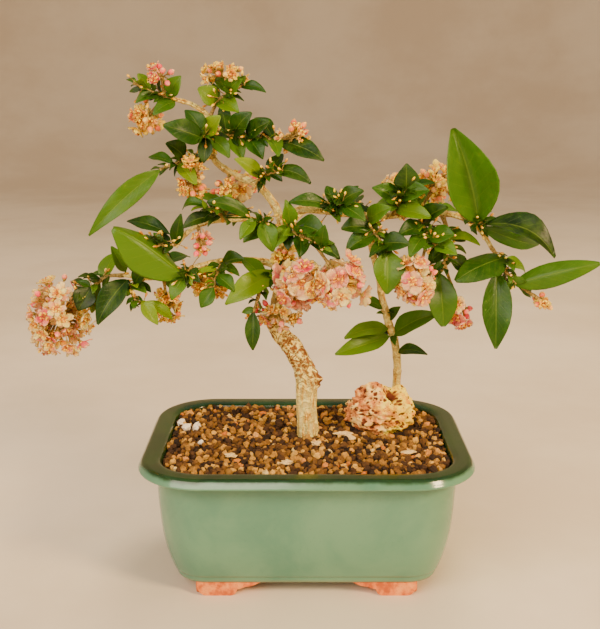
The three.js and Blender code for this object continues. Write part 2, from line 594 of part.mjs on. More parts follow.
// Sprays. route: the stem's points. radii: along it. leaves: base, tip, width, roll, arch.
// fill: how many leaves fill it, and the longest.
const SPRAYS = {
  left_tip_spray: {
    route: [[-112, 187.5, -3], [-122, 187, -5], [-130, 182, -7], [-137, 176, -8], [-142, 171, -9]],
    radii: [1.2, 0.9],
    leaves: [
      [[-133, 180, -10], [-142, 165, -16], 14, 10, 0.05],
      [[-127, 184, -4], [-134, 163, 2], 8, 30, 0.05],
      [[-126, 185, -5], [-117, 202, 6], 11, 30, 0.05],
      [[-111, 190, -3], [-119, 206, -10], 9, 20, 0.05],
      [[-134, 180, -6], [-145, 186, 8], 7, 40, 0.05],
    ],
    fill: [2, 20],
  },
  left_low_spray: {
    route: [[-98, 186, -5], [-103, 184, -9], [-108, 180, -14], [-106, 173, -18], [-101, 169, -20]],
    radii: [1.1, 0.8],
    leaves: [
      [[-110, 185, -14], [-131, 156, -26], 15, 15, 0.06],
      [[-102, 172, -20], [-92, 156, -24], 9, 10, 0.05],
      [[-100, 171, -19], [-82, 160, -12], 9, 40, 0.05],
      [[-106, 182, -14], [-97, 196, -24], 10, 30, 0.05],
    ],
    fill: [2, 18],
  },
  left_big_leaf_spray: {
    route: [[-70, 193, -6], [-73, 190, -14], [-75, 187, -20]],
    radii: [1.3, 1],
    leaves: [
      [[-74, 186, -20], [-117, 219, -36], 27, 22, 0.07],
      [[-74, 188, -18], [-84, 172, -26], 10, 20, 0.05],
    ],
    fill: [0, 20],
  },
  left_limb_spray: {
    route: [[-78, 208, -13], [-84, 206, -16], [-90, 207, -16], [-96, 209, -14]],
    radii: [1.2, 0.8],
    leaves: [
      [[-83, 213, -12], [-110, 222, -4], 11, 35, 0.06],
      [[-80, 207, -15], [-76, 226, -22], 8, 10, 0.05],
      [[-92, 208, -12], [-108, 206, 10], 11, 50, 0.05],
    ],
    fill: [3, 22],
  },
  left_limb_inner_spray: {
    route: [[-48, 222, -8], [-52, 225, -16], [-56, 228, -22], [-62, 230, -26]],
    radii: [1.2, 0.8],
    leaves: [
      [[-34, 223, -18], [-61, 233, -26], 10, 25, 0.1],
      [[-56, 224, -22], [-76, 217, -30], 9, 30, 0.1],
      [[-60, 230, -26], [-76, 229, -20], 7, 40, 0.2],
      [[-50, 226, -14], [-46, 238, -8], 9, 30, 0.05],
    ],
    fill: [0, 20],
  },
  centre_left_spray: {
    route: [[-22, 217, 0], [-24, 218, -8], [-26, 220, -15], [-30, 221, -20]],
    radii: [1.2, 0.8],
    leaves: [
      [[-27, 221, -18], [-20, 202, -24], 12, 15, 0.06],
      [[-25, 219, -14], [-39, 208, -20], 11, 30, 0.06],
      [[-31, 222, -20], [-41, 210, -28], 9, 30, 0.06],
    ],
    fill: [0, 20],
  },
  lower_left_spray: {
    route: [[-50, 196.5, -3], [-53, 193, -10], [-56, 187, -16], [-57, 180, -20]],
    radii: [1.2, 0.8],
    leaves: [
      [[-57, 180, -20], [-66, 167, -24], 10, 15, 0.05],
      [[-55, 188, -15], [-44, 178, -22], 10, 30, 0.05],
      [[-53, 194, -9], [-38, 198, -20], 10, 40, 0.05],
    ],
    fill: [2, 18],
  },
  trunk_left_spray: {
    route: [[-16, 191, 3], [-20, 189, -5], [-24, 184, -11], [-29, 176, -14], [-33, 164, -15]],
    radii: [1.3, 0.8],
    leaves: [
      [[-19, 190, -6], [-51, 170, -24], 15, 20, 0.08],
      [[-33, 165, -15], [-34, 139, -20], 10, 12, 0.05],
      [[-25, 184, -12], [-40, 200, -2], 12, 40, 0.06],
      [[-22, 187, -8], [-8, 197, -18], 11, 35, 0.06],
    ],
    fill: [0, 18],
  },
  upper_left_spray: {
    route: [[-55, 260, 9], [-66, 259, 3], [-77, 256, -3], [-88, 252, -8]],
    radii: [1.3, 0.8],
    leaves: [
      [[-88, 252, -8], [-134, 211, -24], 15, 18, 0.05],
      [[-73, 259, -2], [-84, 268, -14], 12, 30, 0.06],
      [[-80, 256, -5], [-95, 260, 4], 8, 45, 0.05],
      [[-76, 256, -3], [-66, 243, -12], 10, 25, 0.05],
    ],
    fill: [3, 24],
  },
  apex_left_spray: {
    route: [[-76, 293, 7], [-84, 295, 6], [-92, 298, 3], [-102, 303, 0]],
    radii: [1.1, 0.7],
    leaves: [
      [[-87, 296, 5], [-101, 292, -4], 8, 30, 0.06],
      [[-78, 292, 6], [-91, 285, -6], 9, 25, 0.06],
      [[-80, 295, 5], [-74, 307, 0], 11, 20, 0.05],
      [[-92, 298, 3], [-99, 309, 8], 7, 30, 0.05],
    ],
    fill: [2, 16],
  },
  apex_top_spray: {
    route: [[-58, 281, 12], [-54, 290, 12], [-48, 296, 10], [-41, 300, 8], [-36, 302, 7]],
    radii: [1.2, 0.7],
    leaves: [
      [[-53, 291, 11], [-64, 300, 4], 12, 20, 0.06],
      [[-47, 296, 9], [-38, 306, 2], 10, 20, 0.06],
      [[-38, 301, 7], [-24, 298, 0], 7, 30, 0.06],
      [[-52, 292, 11], [-40, 286, 0], 12, 30, 0.06],
      [[-47, 297, 10], [-54, 306, 20], 10, 30, 0.06],
    ],
    fill: [2, 20],
  },
  apex_front_spray: {
    route: [[-57, 268, 11], [-58, 271, 2], [-60, 272, -8], [-62, 272, -14]],
    radii: [1.2, 0.8],
    leaves: [
      [[-62, 271, -14], [-85, 279, -26], 15, 22, 0.07],
      [[-60, 271, -8], [-62, 256, -14], 9, 12, 0.05],
      [[-58, 271, -2], [-46, 259, -8], 10, 20, 0.05],
      [[-60, 273, -8], [-51, 284, -16], 11, 30, 0.06],
      [[-62, 273, -14], [-72, 288, -12], 11, 20, 0.06],
    ],
    fill: [0, 20],
  },
  apex_right_spray: {
    route: [[-57, 270, 12], [-48, 272, 9], [-38, 273, 5], [-28, 271, 0], [-18, 269, -4]],
    radii: [1.4, 1.1, 0.8],
    leaves: [
      [[-44, 272, 7], [-33, 286, -2], 13, 25, 0.06],
      [[-36, 273, 4], [-22, 281, -8], 12, 30, 0.06],
      [[-48, 273, 9], [-50, 287, 20], 12, 30, 0.06],
      [[-34, 271, 2], [-26, 259, -8], 12, 20, 0.06],
      [[-20, 271, -3], [-31, 284, 10], 10, 30, 0.06],
      [[-17, 269, -4], [11, 258, -16], 13, 28, 0.1],
      [[-44, 271, 6], [-38, 258, -4], 11, 20, 0.06],
    ],
    fill: [3, 22],
  },
  middle_upper_spray: {
    route: [[-30, 243, 6], [-27, 247, -2], [-22, 250, -8], [-14, 251, -12]],
    radii: [1.2, 0.8],
    leaves: [
      [[-27, 247, -3], [-43, 259, -12], 10, 25, 0.06],
      [[-21, 251, -8], [3, 244, -18], 10, 30, 0.12],
      [[-24, 249, -5], [-14, 262, 4], 9, 30, 0.05],
    ],
    fill: [1, 18],
  },
  centre_front_spray: {
    route: [[-14, 214, 2], [-11, 215, -12], [-5, 213, -22], [3, 209, -30], [11, 205, -36]],
    radii: [1.5, 1.1, 0.8],
    leaves: [
      [[-12, 219, -14], [-20, 205, -24], 9, 15, 0.05],
      [[-8, 218, -18], [13, 211, -34], 14, 25, 0.08],
      [[9, 205, -35], [11, 219, -44], 9, 10, 0.05],
      [[2, 209, -30], [21, 198, -38], 10, 30, 0.06],
      [[-5, 212, -24], [-4, 199, -32], 10, 25, 0.06],
      [[-10, 216, -14], [-12, 234, -20], 10, 25, 0.06],
    ],
    fill: [2, 20],
  },
  right_limb_inner_spray: {
    route: [[14, 227, -6], [17, 230, -12], [22, 232, -18]],
    radii: [1.2, 0.8],
    leaves: [
      [[15, 229, -11], [-11, 233, -20], 10, 30, 0.08],
      [[20, 232, -16], [34, 240, -24], 12, 30, 0.06],
      [[22, 231, -18], [36, 222, -28], 11, 30, 0.06],
      [[17, 231, -14], [12, 243, -8], 9, 30, 0.06],
    ],
    fill: [0, 20],
  },
  right_low_spray: {
    route: [[36, 225, -8], [39, 218, -16], [44, 210, -22], [50, 203, -26]],
    radii: [1.4, 1.1, 0.8],
    leaves: [
      [[50, 203, -26], [50, 175, -34], 19, 12, 0.06],
      [[42, 213, -20], [24, 203, -26], 12, 25, 0.06],
      [[39, 217, -16], [21, 217, -22], 13, 30, 0.06],
      [[46, 207, -24], [63, 207, -34], 13, 25, 0.06],
      [[37, 222, -12], [50, 230, -26], 12, 30, 0.06],
    ],
    fill: [2, 20],
  },
  right_mid_spray: {
    route: [[52, 224.5, -6], [55, 230, -12], [58, 236, -15], [60, 241, -16]],
    radii: [1.3, 0.8],
    leaves: [
      [[60, 240, -16], [60, 256, -20], 15, 10, 0.05],
      [[56, 233, -14], [40, 242, -22], 13, 30, 0.06],
      [[57, 235, -15], [74, 240, -24], 13, 30, 0.06],
      [[55, 230, -12], [42, 233, 4], 12, 40, 0.06],
      [[54, 228, -12], [76, 223, -28], 11, 30, 0.08],
    ],
    fill: [3, 22],
  },
  right_fore_spray: {
    route: [[68, 225, -3], [70, 219, -14], [74, 212, -22], [79, 205, -27]],
    radii: [1.4, 0.8],
    leaves: [
      [[71, 217, -17], [56, 213, -30], 12, 30, 0.06],
      [[74, 212, -22], [90, 213, -34], 13, 30, 0.06],
      [[73, 214, -20], [63, 200, -34], 11, 20, 0.06],
      [[70, 221, -12], [85, 230, -26], 12, 30, 0.06],
      [[78, 206, -26], [92, 201, -36], 11, 30, 0.06],
    ],
    fill: [0, 20],
  },
  hanging_right_spray: {
    route: [[82, 225.5, 0], [86, 214, -4], [86, 202, -8], [83, 190, -12]],
    radii: [1.4, 1.1, 0.8],
    leaves: [
      [[82, 189, -12], [86, 154, -20], 18, 12, 0.07],
      [[86, 200, -8], [99, 190, -4], 11, 30, 0.06],
      [[86, 205, -7], [74, 194, -8], 11, 25, 0.06],
      [[83, 191, -12], [73, 178, -8], 10, 30, 0.06],
    ],
    fill: [2, 22],
  },
  far_right_spray: {
    route: [[95, 222.5, 0], [102, 221, -7], [108, 219, -12]],
    radii: [1.5, 1.1],
    leaves: [
      [[104, 220, -10], [86, 278, -18], 31, 14, 0.06],
      [[106, 220, -9], [108, 239, -2], 8, 20, 0.05],
      [[108, 219, -12], [154, 200, -30], 18, 42, 0.17],
      [[106, 218, -10], [143, 206, 8], 11, -20, 0.1],
    ],
    fill: [0, 20],
  },
  right_tip_spray: {
    route: [[112, 206, -4], [118, 198, -6], [123, 189, -8], [129, 182, -10]],
    radii: [1.2, 0.8],
    leaves: [
      [[122, 199, -10], [91, 185, -30], 21, 32, 0.08],
      [[128, 182, -10], [181, 196, -25], 16, 18, 0.04],
      [[119, 196, -6], [136, 190, 8], 10, 45, 0.06],
      [[117, 190, -12], [119, 139, -22], 19, 10, 0.05],
      [[126, 185, -8], [140, 174, 2], 10, 40, 0.06],
    ],
    fill: [2, 22],
  },
  back_centre_spray: {
    route: [[5, 230, 34], [13, 232, 43], [24, 231, 48], [36, 229, 49]],
    radii: [1.3, 0.8],
    leaves: [],
    fill: [6, 24],
  },
  back_left_spray: {
    route: [[-38, 222, -5], [-41, 226, 7], [-44, 228, 20], [-48, 229, 32], [-53, 228, 41]],
    radii: [1.4, 1.1, 0.8],
    leaves: [],
    fill: [6, 24],
  },
  back_right_spray: {
    route: [[60, 225, -4], [63, 229, 10], [66, 231, 24], [71, 230, 36], [76, 227, 44]],
    radii: [1.4, 1.1, 0.8],
    leaves: [],
    fill: [7, 24],
  },
  back_apex_spray: {
    route: [[-57, 270, 12], [-54, 274, 24], [-50, 276, 36], [-46, 276, 46]],
    radii: [1.3, 0.8],
    leaves: [],
    fill: [6, 22],
  },
  back_low_spray: {
    route: [[-80, 189, -6], [-84, 193, 8], [-88, 194, 22], [-90, 192, 34]],
    radii: [1.3, 0.8],
    leaves: [],
    fill: [5, 24],
  },
};

function handLeaves({ leaves }) {
  return leaves.map(([base, tip, width, roll, arch]) => {
    const foot = sighted(base);
    const end = sighted(tip);
    return { base: foot, tip: end, width, face: faceToEye(foot, end, roll), arch };
  });
}

// Stem, stalks and blades of a spray in one solid
function makeSpray(plan, leaves, sides, grow = 0) {
  const stem = plan.route.map(sighted);
  const pieces = [limb(stem, plan.radii, sides, plan.route.length - 1, grow)];
  for (const leaf of leaves) {
    const heel = nearestOnRoute(stem, leaf.base);
    pieces.push(makeLeaf({ ...leaf, heel }, grow));
  }
  return join(pieces);
}

// The second stem rises behind the stone and meets the long right-hand limb.
const SECOND_STEM = {
  route: [[58, 78, 40], [58, 92, 40], [57, 106, 39], [57, 120, 35], [57, 132, 30], [55, 146, 24],
    [51, 158, 18], [47, 172, 12], [45, 184, 7], [41, 200, 2], [37, 214, -2], [35, 220.5, -4]],
  radii: [3.0, 2.8, 2.6, 2.5, 2.4, 2.1, 1.9, 1.7],
  leaves: [
    [[47, 167, 12], [34, 172, 4], 8, 30, 0.06],
    [[51, 154, 18], [24, 149, 2], 11, 30, 0.06],
    [[52, 149, 21], [17, 137, 4], 14, 20, 0.06],
    [[54, 150, 21], [81, 164, 5], 14, 25, 0.06],
    [[57, 139, 26], [76, 138, 16], 9, 35, 0.16],
    [[51, 160, 18], [58, 168, 10], 8, 30, 0.05],
    [[46, 178, 10], [60, 186, 24], 10, 40, 0.05],
  ],
};

// Blossoms: five petals in one cupped star that its stalk runs into. Buds: pointed beads.

const PETALS = 5;
const NOTCH = 0.34;
const PETAL_HALF_ANGLE = 0.4;
const PETAL_RISE = 0.28;
const CORE_SHARE = 0.36;
const STALK_SIDES = 3;

function makeBloom(heel, centre, facing, radius, grow = 0) {
  const stalkWay = centre.clone().sub(heel).normalize();
  const way = facing.clone().add(stalkWay).normalize();
  const [across, other] = squareTo(way);
  const spot = (angle, reach, rise) => centre.clone()
    .addScaledVector(across, reach * Math.cos(angle))
    .addScaledVector(other, reach * Math.sin(angle))
    .addScaledVector(way, rise);
  const outline = [];
  const reach = radius + grow * GROWN_REACH;
  const halfAngle = PETAL_HALF_ANGLE + grow * 1.5 / radius;
  for (let petal = 0; petal < PETALS; petal += 1) {
    const angle = petal / PETALS * Math.PI * 2;
    outline.push(
      spot(angle - Math.PI / PETALS, radius * NOTCH + grow * GROWN_REACH, 0.2),
      spot(angle - halfAngle, reach, reach * PETAL_RISE),
      spot(angle + halfAngle, reach, reach * PETAL_RISE));
  }
  const count = outline.length;
  const stalk = PEDICEL_RADIUS + grow;
  const top = count;
  const neck = top + 1;
  const foot = neck + STALK_SIDES;
  const points = [...outline, spot(0, 0, 0.8 + grow)];
  points.push(...ringAt(spot(0, 0, -0.9 - grow), way, stalk, STALK_SIDES, across));
  points.push(...ringAt(heel, stalkWay, stalk, STALK_SIDES, across));
  const triangles = [];
  const share = count / STALK_SIDES;
  for (let step = 0; step < count; step += 1) {
    const next = (step + 1) % count;
    const side = Math.floor(step / share);
    triangles.push([top, step, next], [neck + side, next, step]);
  }
  for (let side = 0; side < STALK_SIDES; side += 1) {
    const beside = (side + 1) % STALK_SIDES;
    triangles.push(
      [neck + side, neck + beside, (side + 1) * share % count],
      [foot + side, foot + beside, neck + beside],
      [foot + side, neck + beside, neck + side]);
  }
  triangles.push([foot, foot + 2, foot + 1]);
  return solidFromPoints(points, triangles);
}

function makeBud(heel, centre, facing, grow = 0) {
  const radius = PEDICEL_RADIUS + grow;
  const stalkWay = centre.clone().sub(heel).normalize();
  const bend = facing.clone().add(stalkWay).normalize();
  const [hint] = squareTo(bend);
  const belly = centre.clone().addScaledVector(bend, BUD_LENGTH * 0.45);
  const rings = [
    ringAt(heel, stalkWay, radius, STALK_SIDES, hint),
    ringAt(centre, bend, radius, STALK_SIDES, hint),
    ringAt(belly, bend, BUD_RADIUS + grow, STALK_SIDES, hint),
  ];
  return loft(rings, centre.clone().addScaledVector(bend, BUD_LENGTH + grow));
}

// Bunches. root: where the stalk leaves the wood. centre and half: the bunch's middle and its
// half-sizes in x, z and y. Blooms then buds wind over that egg by the golden angle.
const BUNCHES = {
  left_end_bunch: {
    root: [-140, 173, -9], centre: [-153, 162, -7], half: [17, 24, 17],
    blooms: 11, buds: 4, radius: 7.6, colour: PINK,
  },
  apex_left_bunch: {
    root: [-84, 295, 6], centre: [-85, 306, 4], half: [7, 5, 7],
    blooms: 3, buds: 2, radius: 6.3, colour: PINK,
  },
  apex_left_low_bunch: {
    root: [-84, 295, 6], centre: [-94, 283, 2], half: [8, 8, 9],
    blooms: 3, buds: 2, radius: 6.3, colour: PEACH,
  },
  apex_top_bunch: {
    root: [-46, 297, 10], centre: [-48, 307, 12], half: [12, 5, 10],
    blooms: 4, buds: 3, radius: 6.6, colour: PEACH,
  },
  peach_bunch: {
    root: [-64, 259, 4], centre: [-69, 247, -6], half: [6, 11, 8],
    blooms: 4, buds: 2, radius: 6.8, colour: PEACH,
  },
  inner_yellow_bunch: {
    root: [-46, 250, 8], centre: [-48, 241, 0], half: [8, 4, 6],
    blooms: 2, buds: 1, radius: 6.3, colour: PEACH,
  },
  apex_right_bunch: {
    root: [-20, 269, -3], centre: [-9, 271, -8], half: [8, 8, 7],
    blooms: 2, buds: 3, radius: 6.1, colour: PEACH,
  },
  centre_left_bunch: {
    root: [-5, 213, -22], centre: [-3, 184, -30], half: [11, 13, 13],
    blooms: 6, buds: 2, radius: 8.1, colour: PINK,
  },
  centre_right_bunch: {
    root: [4, 208.5, -31], centre: [22, 183, -38], half: [13, 14, 13],
    blooms: 7, buds: 2, radius: 8.1, colour: PINK,
  },
  trunk_bunch: {
    root: [-18, 176, 5], centre: [-19, 163, -8], half: [15, 7, 8],
    blooms: 4, buds: 2, radius: 6.1, colour: PINK,
  },
  fork_bunch: {
    root: [-14, 206, 2], centre: [-13, 196, -14], half: [5, 7, 5],
    blooms: 2, buds: 1, radius: 5.9, colour: PEACH,
  },
  right_inner_bunch: {
    root: [74, 211, -23], centre: [68, 184, -30], half: [8, 15, 10],
    blooms: 6, buds: 2, radius: 7.3, colour: PINK,
  },
  right_top_bunch: {
    root: [66, 225, -3], centre: [78, 243, 2], half: [11, 9, 11],
    blooms: 5, buds: 3, radius: 6.6, colour: PEACH,
  },
  right_low_bunch: {
    root: [84, 196, -11], centre: [95, 166, -8], half: [5, 9, 7],
    blooms: 3, buds: 1, radius: 7.6, colour: PINK,
  },
  right_end_bunch: {
    root: [127, 184, -9], centre: [146, 171, -10], half: [4, 3, 5],
    blooms: 1, buds: 2, radius: 5.9, colour: PEACH,
  },
  lower_left_bunch: {
    root: [-62, 194, -5], centre: [-60, 182, 0], half: [8, 6, 9],
    blooms: 4, buds: 1, radius: 6.6, colour: PEACH,
  },
  left_low_bunch: {
    root: [-88, 186.5, -6], centre: [-86, 170, -4], half: [7, 11, 7],
    blooms: 3, buds: 1, radius: 6.3, colour: PEACH,
  },
  left_limb_bunch: {
    root: [-66, 218.5, -11], centre: [-64, 207, -18], half: [4, 5, 5],
    blooms: 1, buds: 2, radius: 6.1, colour: PINK,
  },
  back_left_bunch: {
    root: [-44, 228, 20], centre: [-38, 242, 30], half: [10, 7, 10],
    blooms: 3, buds: 2, radius: 7.1, colour: PINK,
  },
  back_right_bunch: {
    root: [66, 231, 24], centre: [58, 240, 38], half: [10, 7, 10],
    blooms: 3, buds: 2, radius: 7.1, colour: PINK,
  },
};

// Where a bunch's blooms and buds sit: points wound over the egg, none near its stalk and
// none on a leaf
const EGG_SHARE = 1.25;
const STALK_SIDE = 0.72;
const BLOOM_CLEAR = 6;

function bunchPlaces({ root, centre, half, blooms, buds }, owner, seed) {
  const random = seeded(seed);
  const middle = sighted(centre);
  const back = sighted(root).sub(middle).normalize();
  const total = blooms + buds;
  const turn = random() * Math.PI * 2;
  const places = [];
  for (let index = 0; index < total * 3 && places.length < total; index += 1) {
    const height = 1 - 2 * (index + 0.5) / (total * EGG_SHARE);
    const level = Math.sqrt(Math.max(0, 1 - height * height));
    const angle = turn + index * GOLDEN_ANGLE;
    const way = new THREE.Vector3(level * Math.cos(angle), level * Math.sin(angle), height);
    const jitter = 0.86 + 0.28 * random();
    const spot = new THREE.Vector3(way.x * half[0], way.y * half[2], way.z * half[1]);
    spot.multiplyScalar(jitter).add(middle);
    const free = isFree([spot], owner, BLOOM_CLEAR, BLOOM_CLEAR);
    if (height > -1 && way.dot(back) < STALK_SIDE && free) {
      take([spot], owner);
      places.push({ spot, way });
    }
  }
  return places;
}

// The stalks stand out of a small core at the end of the bunch's own stem. Every third place
// holds a bud until the buds run out.
function makeBunch(plan, places, grow = 0) {
  const middle = sighted(plan.centre);
  const stem = limb([sighted(plan.root), middle], [0.95, 0.8], TWIG_SIDES, 1, grow);
  const core = new THREE.IcosahedronGeometry(1, 0);
  const [wide, tall, deep] = plan.half.map((half) => half * CORE_SHARE + grow);
  core.scale(wide, deep, tall);
  core.translate(...middle.toArray());
  const pieces = [stem, solidFrom(core)];
  let buds = plan.buds;
  places.forEach(({ spot, way }, index) => {
    const isBud = buds > 0 && index % 3 === 1;
    if (isBud) {
      buds -= 1;
      pieces.push(makeBud(middle, spot, way, grow));
    } else {
      pieces.push(makeBloom(middle, spot, way, plan.radius, grow));
    }
  });
  return join(pieces);
}

// Assembly: each new piece is cut clear of those that stand already, by grown copies of them

const bonsai = new THREE.Group();
const standing = [];

function boxesMeet(one, other) {
  const a = one.boundingBox();
  const b = other.boundingBox();
  return [0, 1, 2].every((axis) => a.min[axis] < b.max[axis] && b.min[axis] < a.max[axis]);
}

function cutClear(solid) {
  let clear = solid;
  for (const grown of standing) {
    if (boxesMeet(clear, grown)) {
      clear = clear.subtract(grown);
    }
  }
  return largestPiece(clear);
}

function place(name, solid, grown, material) {
  const clear = cutClear(solid);
  bonsai.add(meshOf(name, clear, material));
  standing.push(grown);
}

const trunk = makeTrunk();
const trunkGrown = makeTrunk(CLEARANCE);
bonsai.add(meshOf("trunk", trunk, BARK));
standing.push(trunkGrown);

// Leaves placed by hand come first, then the bunches, then the leaves that fill the gaps.
const secondLeaves = handLeaves(SECOND_STEM);
take(secondLeaves.flatMap(marksOf), "second_stem");
const sprays = Object.entries(SPRAYS).map(([name, plan]) => {
  const leaves = handLeaves(plan);
  take(leaves.flatMap(marksOf), name);
  return { name, plan, leaves };
});
const bunches = Object.entries(BUNCHES).map(([name, plan], index) => (
  { name, plan, places: bunchPlaces(plan, name, index + 40) }));
sprays.forEach(({ name, plan, leaves }, index) => {
  const [count, longest] = plan.fill;
  leaves.push(...fillLeaves(plan.route.map(sighted), count, longest, name, seeded(index + 2)));
});

const secondGrown = makeSpray(SECOND_STEM, secondLeaves, STEM_SIDES, CLEARANCE);
place("second_stem", makeSpray(SECOND_STEM, secondLeaves, STEM_SIDES), secondGrown, BARK);

for (const { name, plan, leaves } of sprays) {
  const grown = makeSpray(plan, leaves, TWIG_SIDES, CLEARANCE);
  place(name, makeSpray(plan, leaves, TWIG_SIDES), grown, LEAF);
}

for (const { name, plan, places } of bunches) {
  place(name, makeBunch(plan, places), makeBunch(plan, places, CLEARANCE), plan.colour);
}

bonsai.add(meshOf("pot", makePot(), GLAZE));
bonsai.add(meshOf("drain_screen_left", makeScreen(-1), MESH_SCREEN));
bonsai.add(meshOf("drain_screen_right", makeScreen(1), MESH_SCREEN));

const stoneGrown = makeStone(CLEARANCE);
bonsai.add(meshOf("stone", cutClear(makeStone()), STONE));
const soil = makeSoil().subtract(join([trunkGrown, secondGrown, stoneGrown]));
bonsai.add(meshOf("soil", largestPiece(soil), GRIT));

export default bonsai;
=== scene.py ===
import math
import bpy
import numpy as np
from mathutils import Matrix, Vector
from mathutils.geometry import tessellate_polygon


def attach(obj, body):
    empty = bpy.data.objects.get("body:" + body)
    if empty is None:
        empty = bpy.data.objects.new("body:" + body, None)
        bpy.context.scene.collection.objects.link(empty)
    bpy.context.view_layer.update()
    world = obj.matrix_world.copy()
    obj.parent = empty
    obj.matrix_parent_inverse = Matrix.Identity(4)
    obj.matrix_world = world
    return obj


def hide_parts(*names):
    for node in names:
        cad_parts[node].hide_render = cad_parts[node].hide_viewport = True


# A Barbados cherry bonsai in flower, in its glazed pot. Sizes are millimetres, +Z is up and the
# pot's front faces -Y; each finished mesh is put in as metres.
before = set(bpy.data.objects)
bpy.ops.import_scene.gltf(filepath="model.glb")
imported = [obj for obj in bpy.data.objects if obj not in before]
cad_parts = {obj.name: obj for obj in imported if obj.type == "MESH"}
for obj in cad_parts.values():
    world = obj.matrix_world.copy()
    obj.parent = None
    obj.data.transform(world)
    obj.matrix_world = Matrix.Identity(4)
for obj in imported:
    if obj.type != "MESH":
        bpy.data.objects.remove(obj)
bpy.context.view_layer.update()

# The camera stands 60 cm in front of the pot's middle, level with the top of the tree, and looks
# down at it. Its lens is given by how many pixels of the picture's height one radian covers.

EYE = np.array([-4.0, -600.0, 308.0])
LOOK_DOWN = 13.6
FOCAL_PIXELS = 995
PICTURE_HEIGHT = 629
FILM_HEIGHT = 36

camera = bpy.data.objects.new("camera", bpy.data.cameras.new("camera"))
bpy.context.collection.objects.link(camera)
camera.location = EYE / 1000
camera.rotation_euler = (math.radians(90 - LOOK_DOWN), 0, 0)
camera.data.sensor_width = FILM_HEIGHT
camera.data.lens = FOCAL_PIXELS / PICTURE_HEIGHT * FILM_HEIGHT
bpy.context.scene.camera = camera

# The floor and the light: pale plaster that sweeps up into a round wall a few metres away, under
# three large lamps. The warm one on the right is the strongest, the broad pale one stands in front
# on the left, and the high one behind the tree shines through the leaves, but isn't mirrored in
# the glaze.

FLOOR_FLAT = 2.1
FLOOR_SWEEP = 1.1
WALL_TOP = 3.2
FLOOR_SIDES = 96
LAMPS = {
    "warm_lamp": {"spot": (1.0, -0.85, 0.85), "width": 0.34, "power": 28, "tone": (255, 216, 158)},
    "pale_lamp": {"spot": (-0.62, -1.05, 0.84), "width": 1.32, "height": 0.7, "power": 22.5,
                  "tone": (255, 238, 216)},
    "high_lamp": {"spot": (0.25, 0.7, 1.3), "width": 0.6, "power": 15, "tone": (255, 230, 190)},
}
AIMED_AT = Vector((0, 0, 0.14))


def colour(red, green, blue):
    """A colour given in 0 to 255 as it looks on screen, made linear as a shader takes it."""
    shown = np.array([red, green, blue]) / 255
    linear = np.where(shown <= 0.04045, shown / 12.92, ((shown + 0.055) / 1.055) ** 2.4)
    return (*linear.tolist(), 1)


def add_node(tree, kind, inputs=(), **settings):
    """A shader node with its settings. Each input is a plain value, or an output that feeds it."""
    made = tree.nodes.new(kind)
    for name, value in settings.items():
        setattr(made, name, value)
    for key, value in dict(inputs).items():
        if isinstance(value, bpy.types.NodeSocket):
            tree.links.new(value, made.inputs[key])
        else:
            made.inputs[key].default_value = value
    return made


def new_group(name, inputs, outputs):
    """An effect that several materials share. Each input is a name, a socket kind and a starting
    value; each output is a name and a socket kind. Gives the group and its two end nodes."""
    group = bpy.data.node_groups.new(name, "ShaderNodeTree")
    for label, kind, start in inputs:
        socket = group.interface.new_socket(label, in_out="INPUT", socket_type="NodeSocket" + kind)
        if start is not None:
            socket.default_value = start
    for label, kind in outputs:
        group.interface.new_socket(label, in_out="OUTPUT", socket_type="NodeSocket" + kind)
    given, out = group.nodes.new("NodeGroupInput"), group.nodes.new("NodeGroupOutput")
    return group, given.outputs, out.inputs


def use(tree, group, output, **values):
    """One output of a shared effect, placed in a material with values of its own."""
    inputs = {key.replace("_", " "): value for key, value in values.items()}
    return add_node(tree, "ShaderNodeGroup", inputs, node_tree=group).outputs[output]


def ramp(tree, factor, stops):
    """A colour read off a row of stops, each a place from 0 to 1 and a colour as for colour()."""
    made = add_node(tree, "ShaderNodeValToRGB", {"Fac": factor})
    row = made.color_ramp
    while len(row.elements) < len(stops):
        row.elements.new(1)
    for element, (place, *tone) in zip(row.elements, stops):
        element.position = place
        element.color = colour(*tone)
    return made.outputs["Color"]


def spread(tree, value, low, high, to_low=0.0, to_high=1.0):
    """Carries a value from one span smoothly to another, held at its ends."""
    made = add_node(tree, "ShaderNodeMapRange",
                    {0: value, 1: low, 2: high, 3: to_low, 4: to_high},
                    interpolation_type="SMOOTHSTEP")
    return made.outputs[0]


def finish(name, **values):
    """A material of one shader. Each value is set on the shader's socket of that name."""
    material = bpy.data.materials.new(name)
    material.use_nodes = True
    tree = material.node_tree
    shader = tree.nodes["Principled BSDF"]
    for key, value in values.items():
        shader.inputs[key.replace("_", " ")].default_value = value
    return material, tree, shader


def feed(tree, shader, **outputs):
    """Links what changes over the surface to the shader's sockets."""
    for key, output in outputs.items():
        tree.links.new(output, shader.inputs[key.replace("_", " ")])


def turns(count):
    """So many angles, evenly round the circle."""
    return np.arange(count) / count * 2 * math.pi


def object_place(tree):
    """The place on the piece itself, in metres."""
    return add_node(tree, "ShaderNodeTexCoord").outputs["Object"]


def marked(tree, name, output="Fac"):
    """What a mesh keeps at each of its points under a name."""
    return add_node(tree, "ShaderNodeAttribute", attribute_name=name).outputs[output]


# Cloudy patches, as many a metre as the scale, as a mask that rises from the low to the high mark
mottle, given, out = new_group(
    "mottle",
    [("Place", "Vector", None), ("Scale", "Float", 100.0), ("Detail", "Float", 4.0),
     ("Twist", "Float", 0.0), ("Low", "Float", 0.35), ("High", "Float", 0.65)],
    [("Mask", "Float")])
cloud = add_node(mottle, "ShaderNodeTexNoise", {
    "Vector": given["Place"], "Scale": given["Scale"], "Detail": given["Detail"],
    "Roughness": 0.6, "Distortion": given["Twist"]})
mottle.links.new(spread(mottle, cloud.outputs["Fac"], given["Low"], given["High"]), out["Mask"])

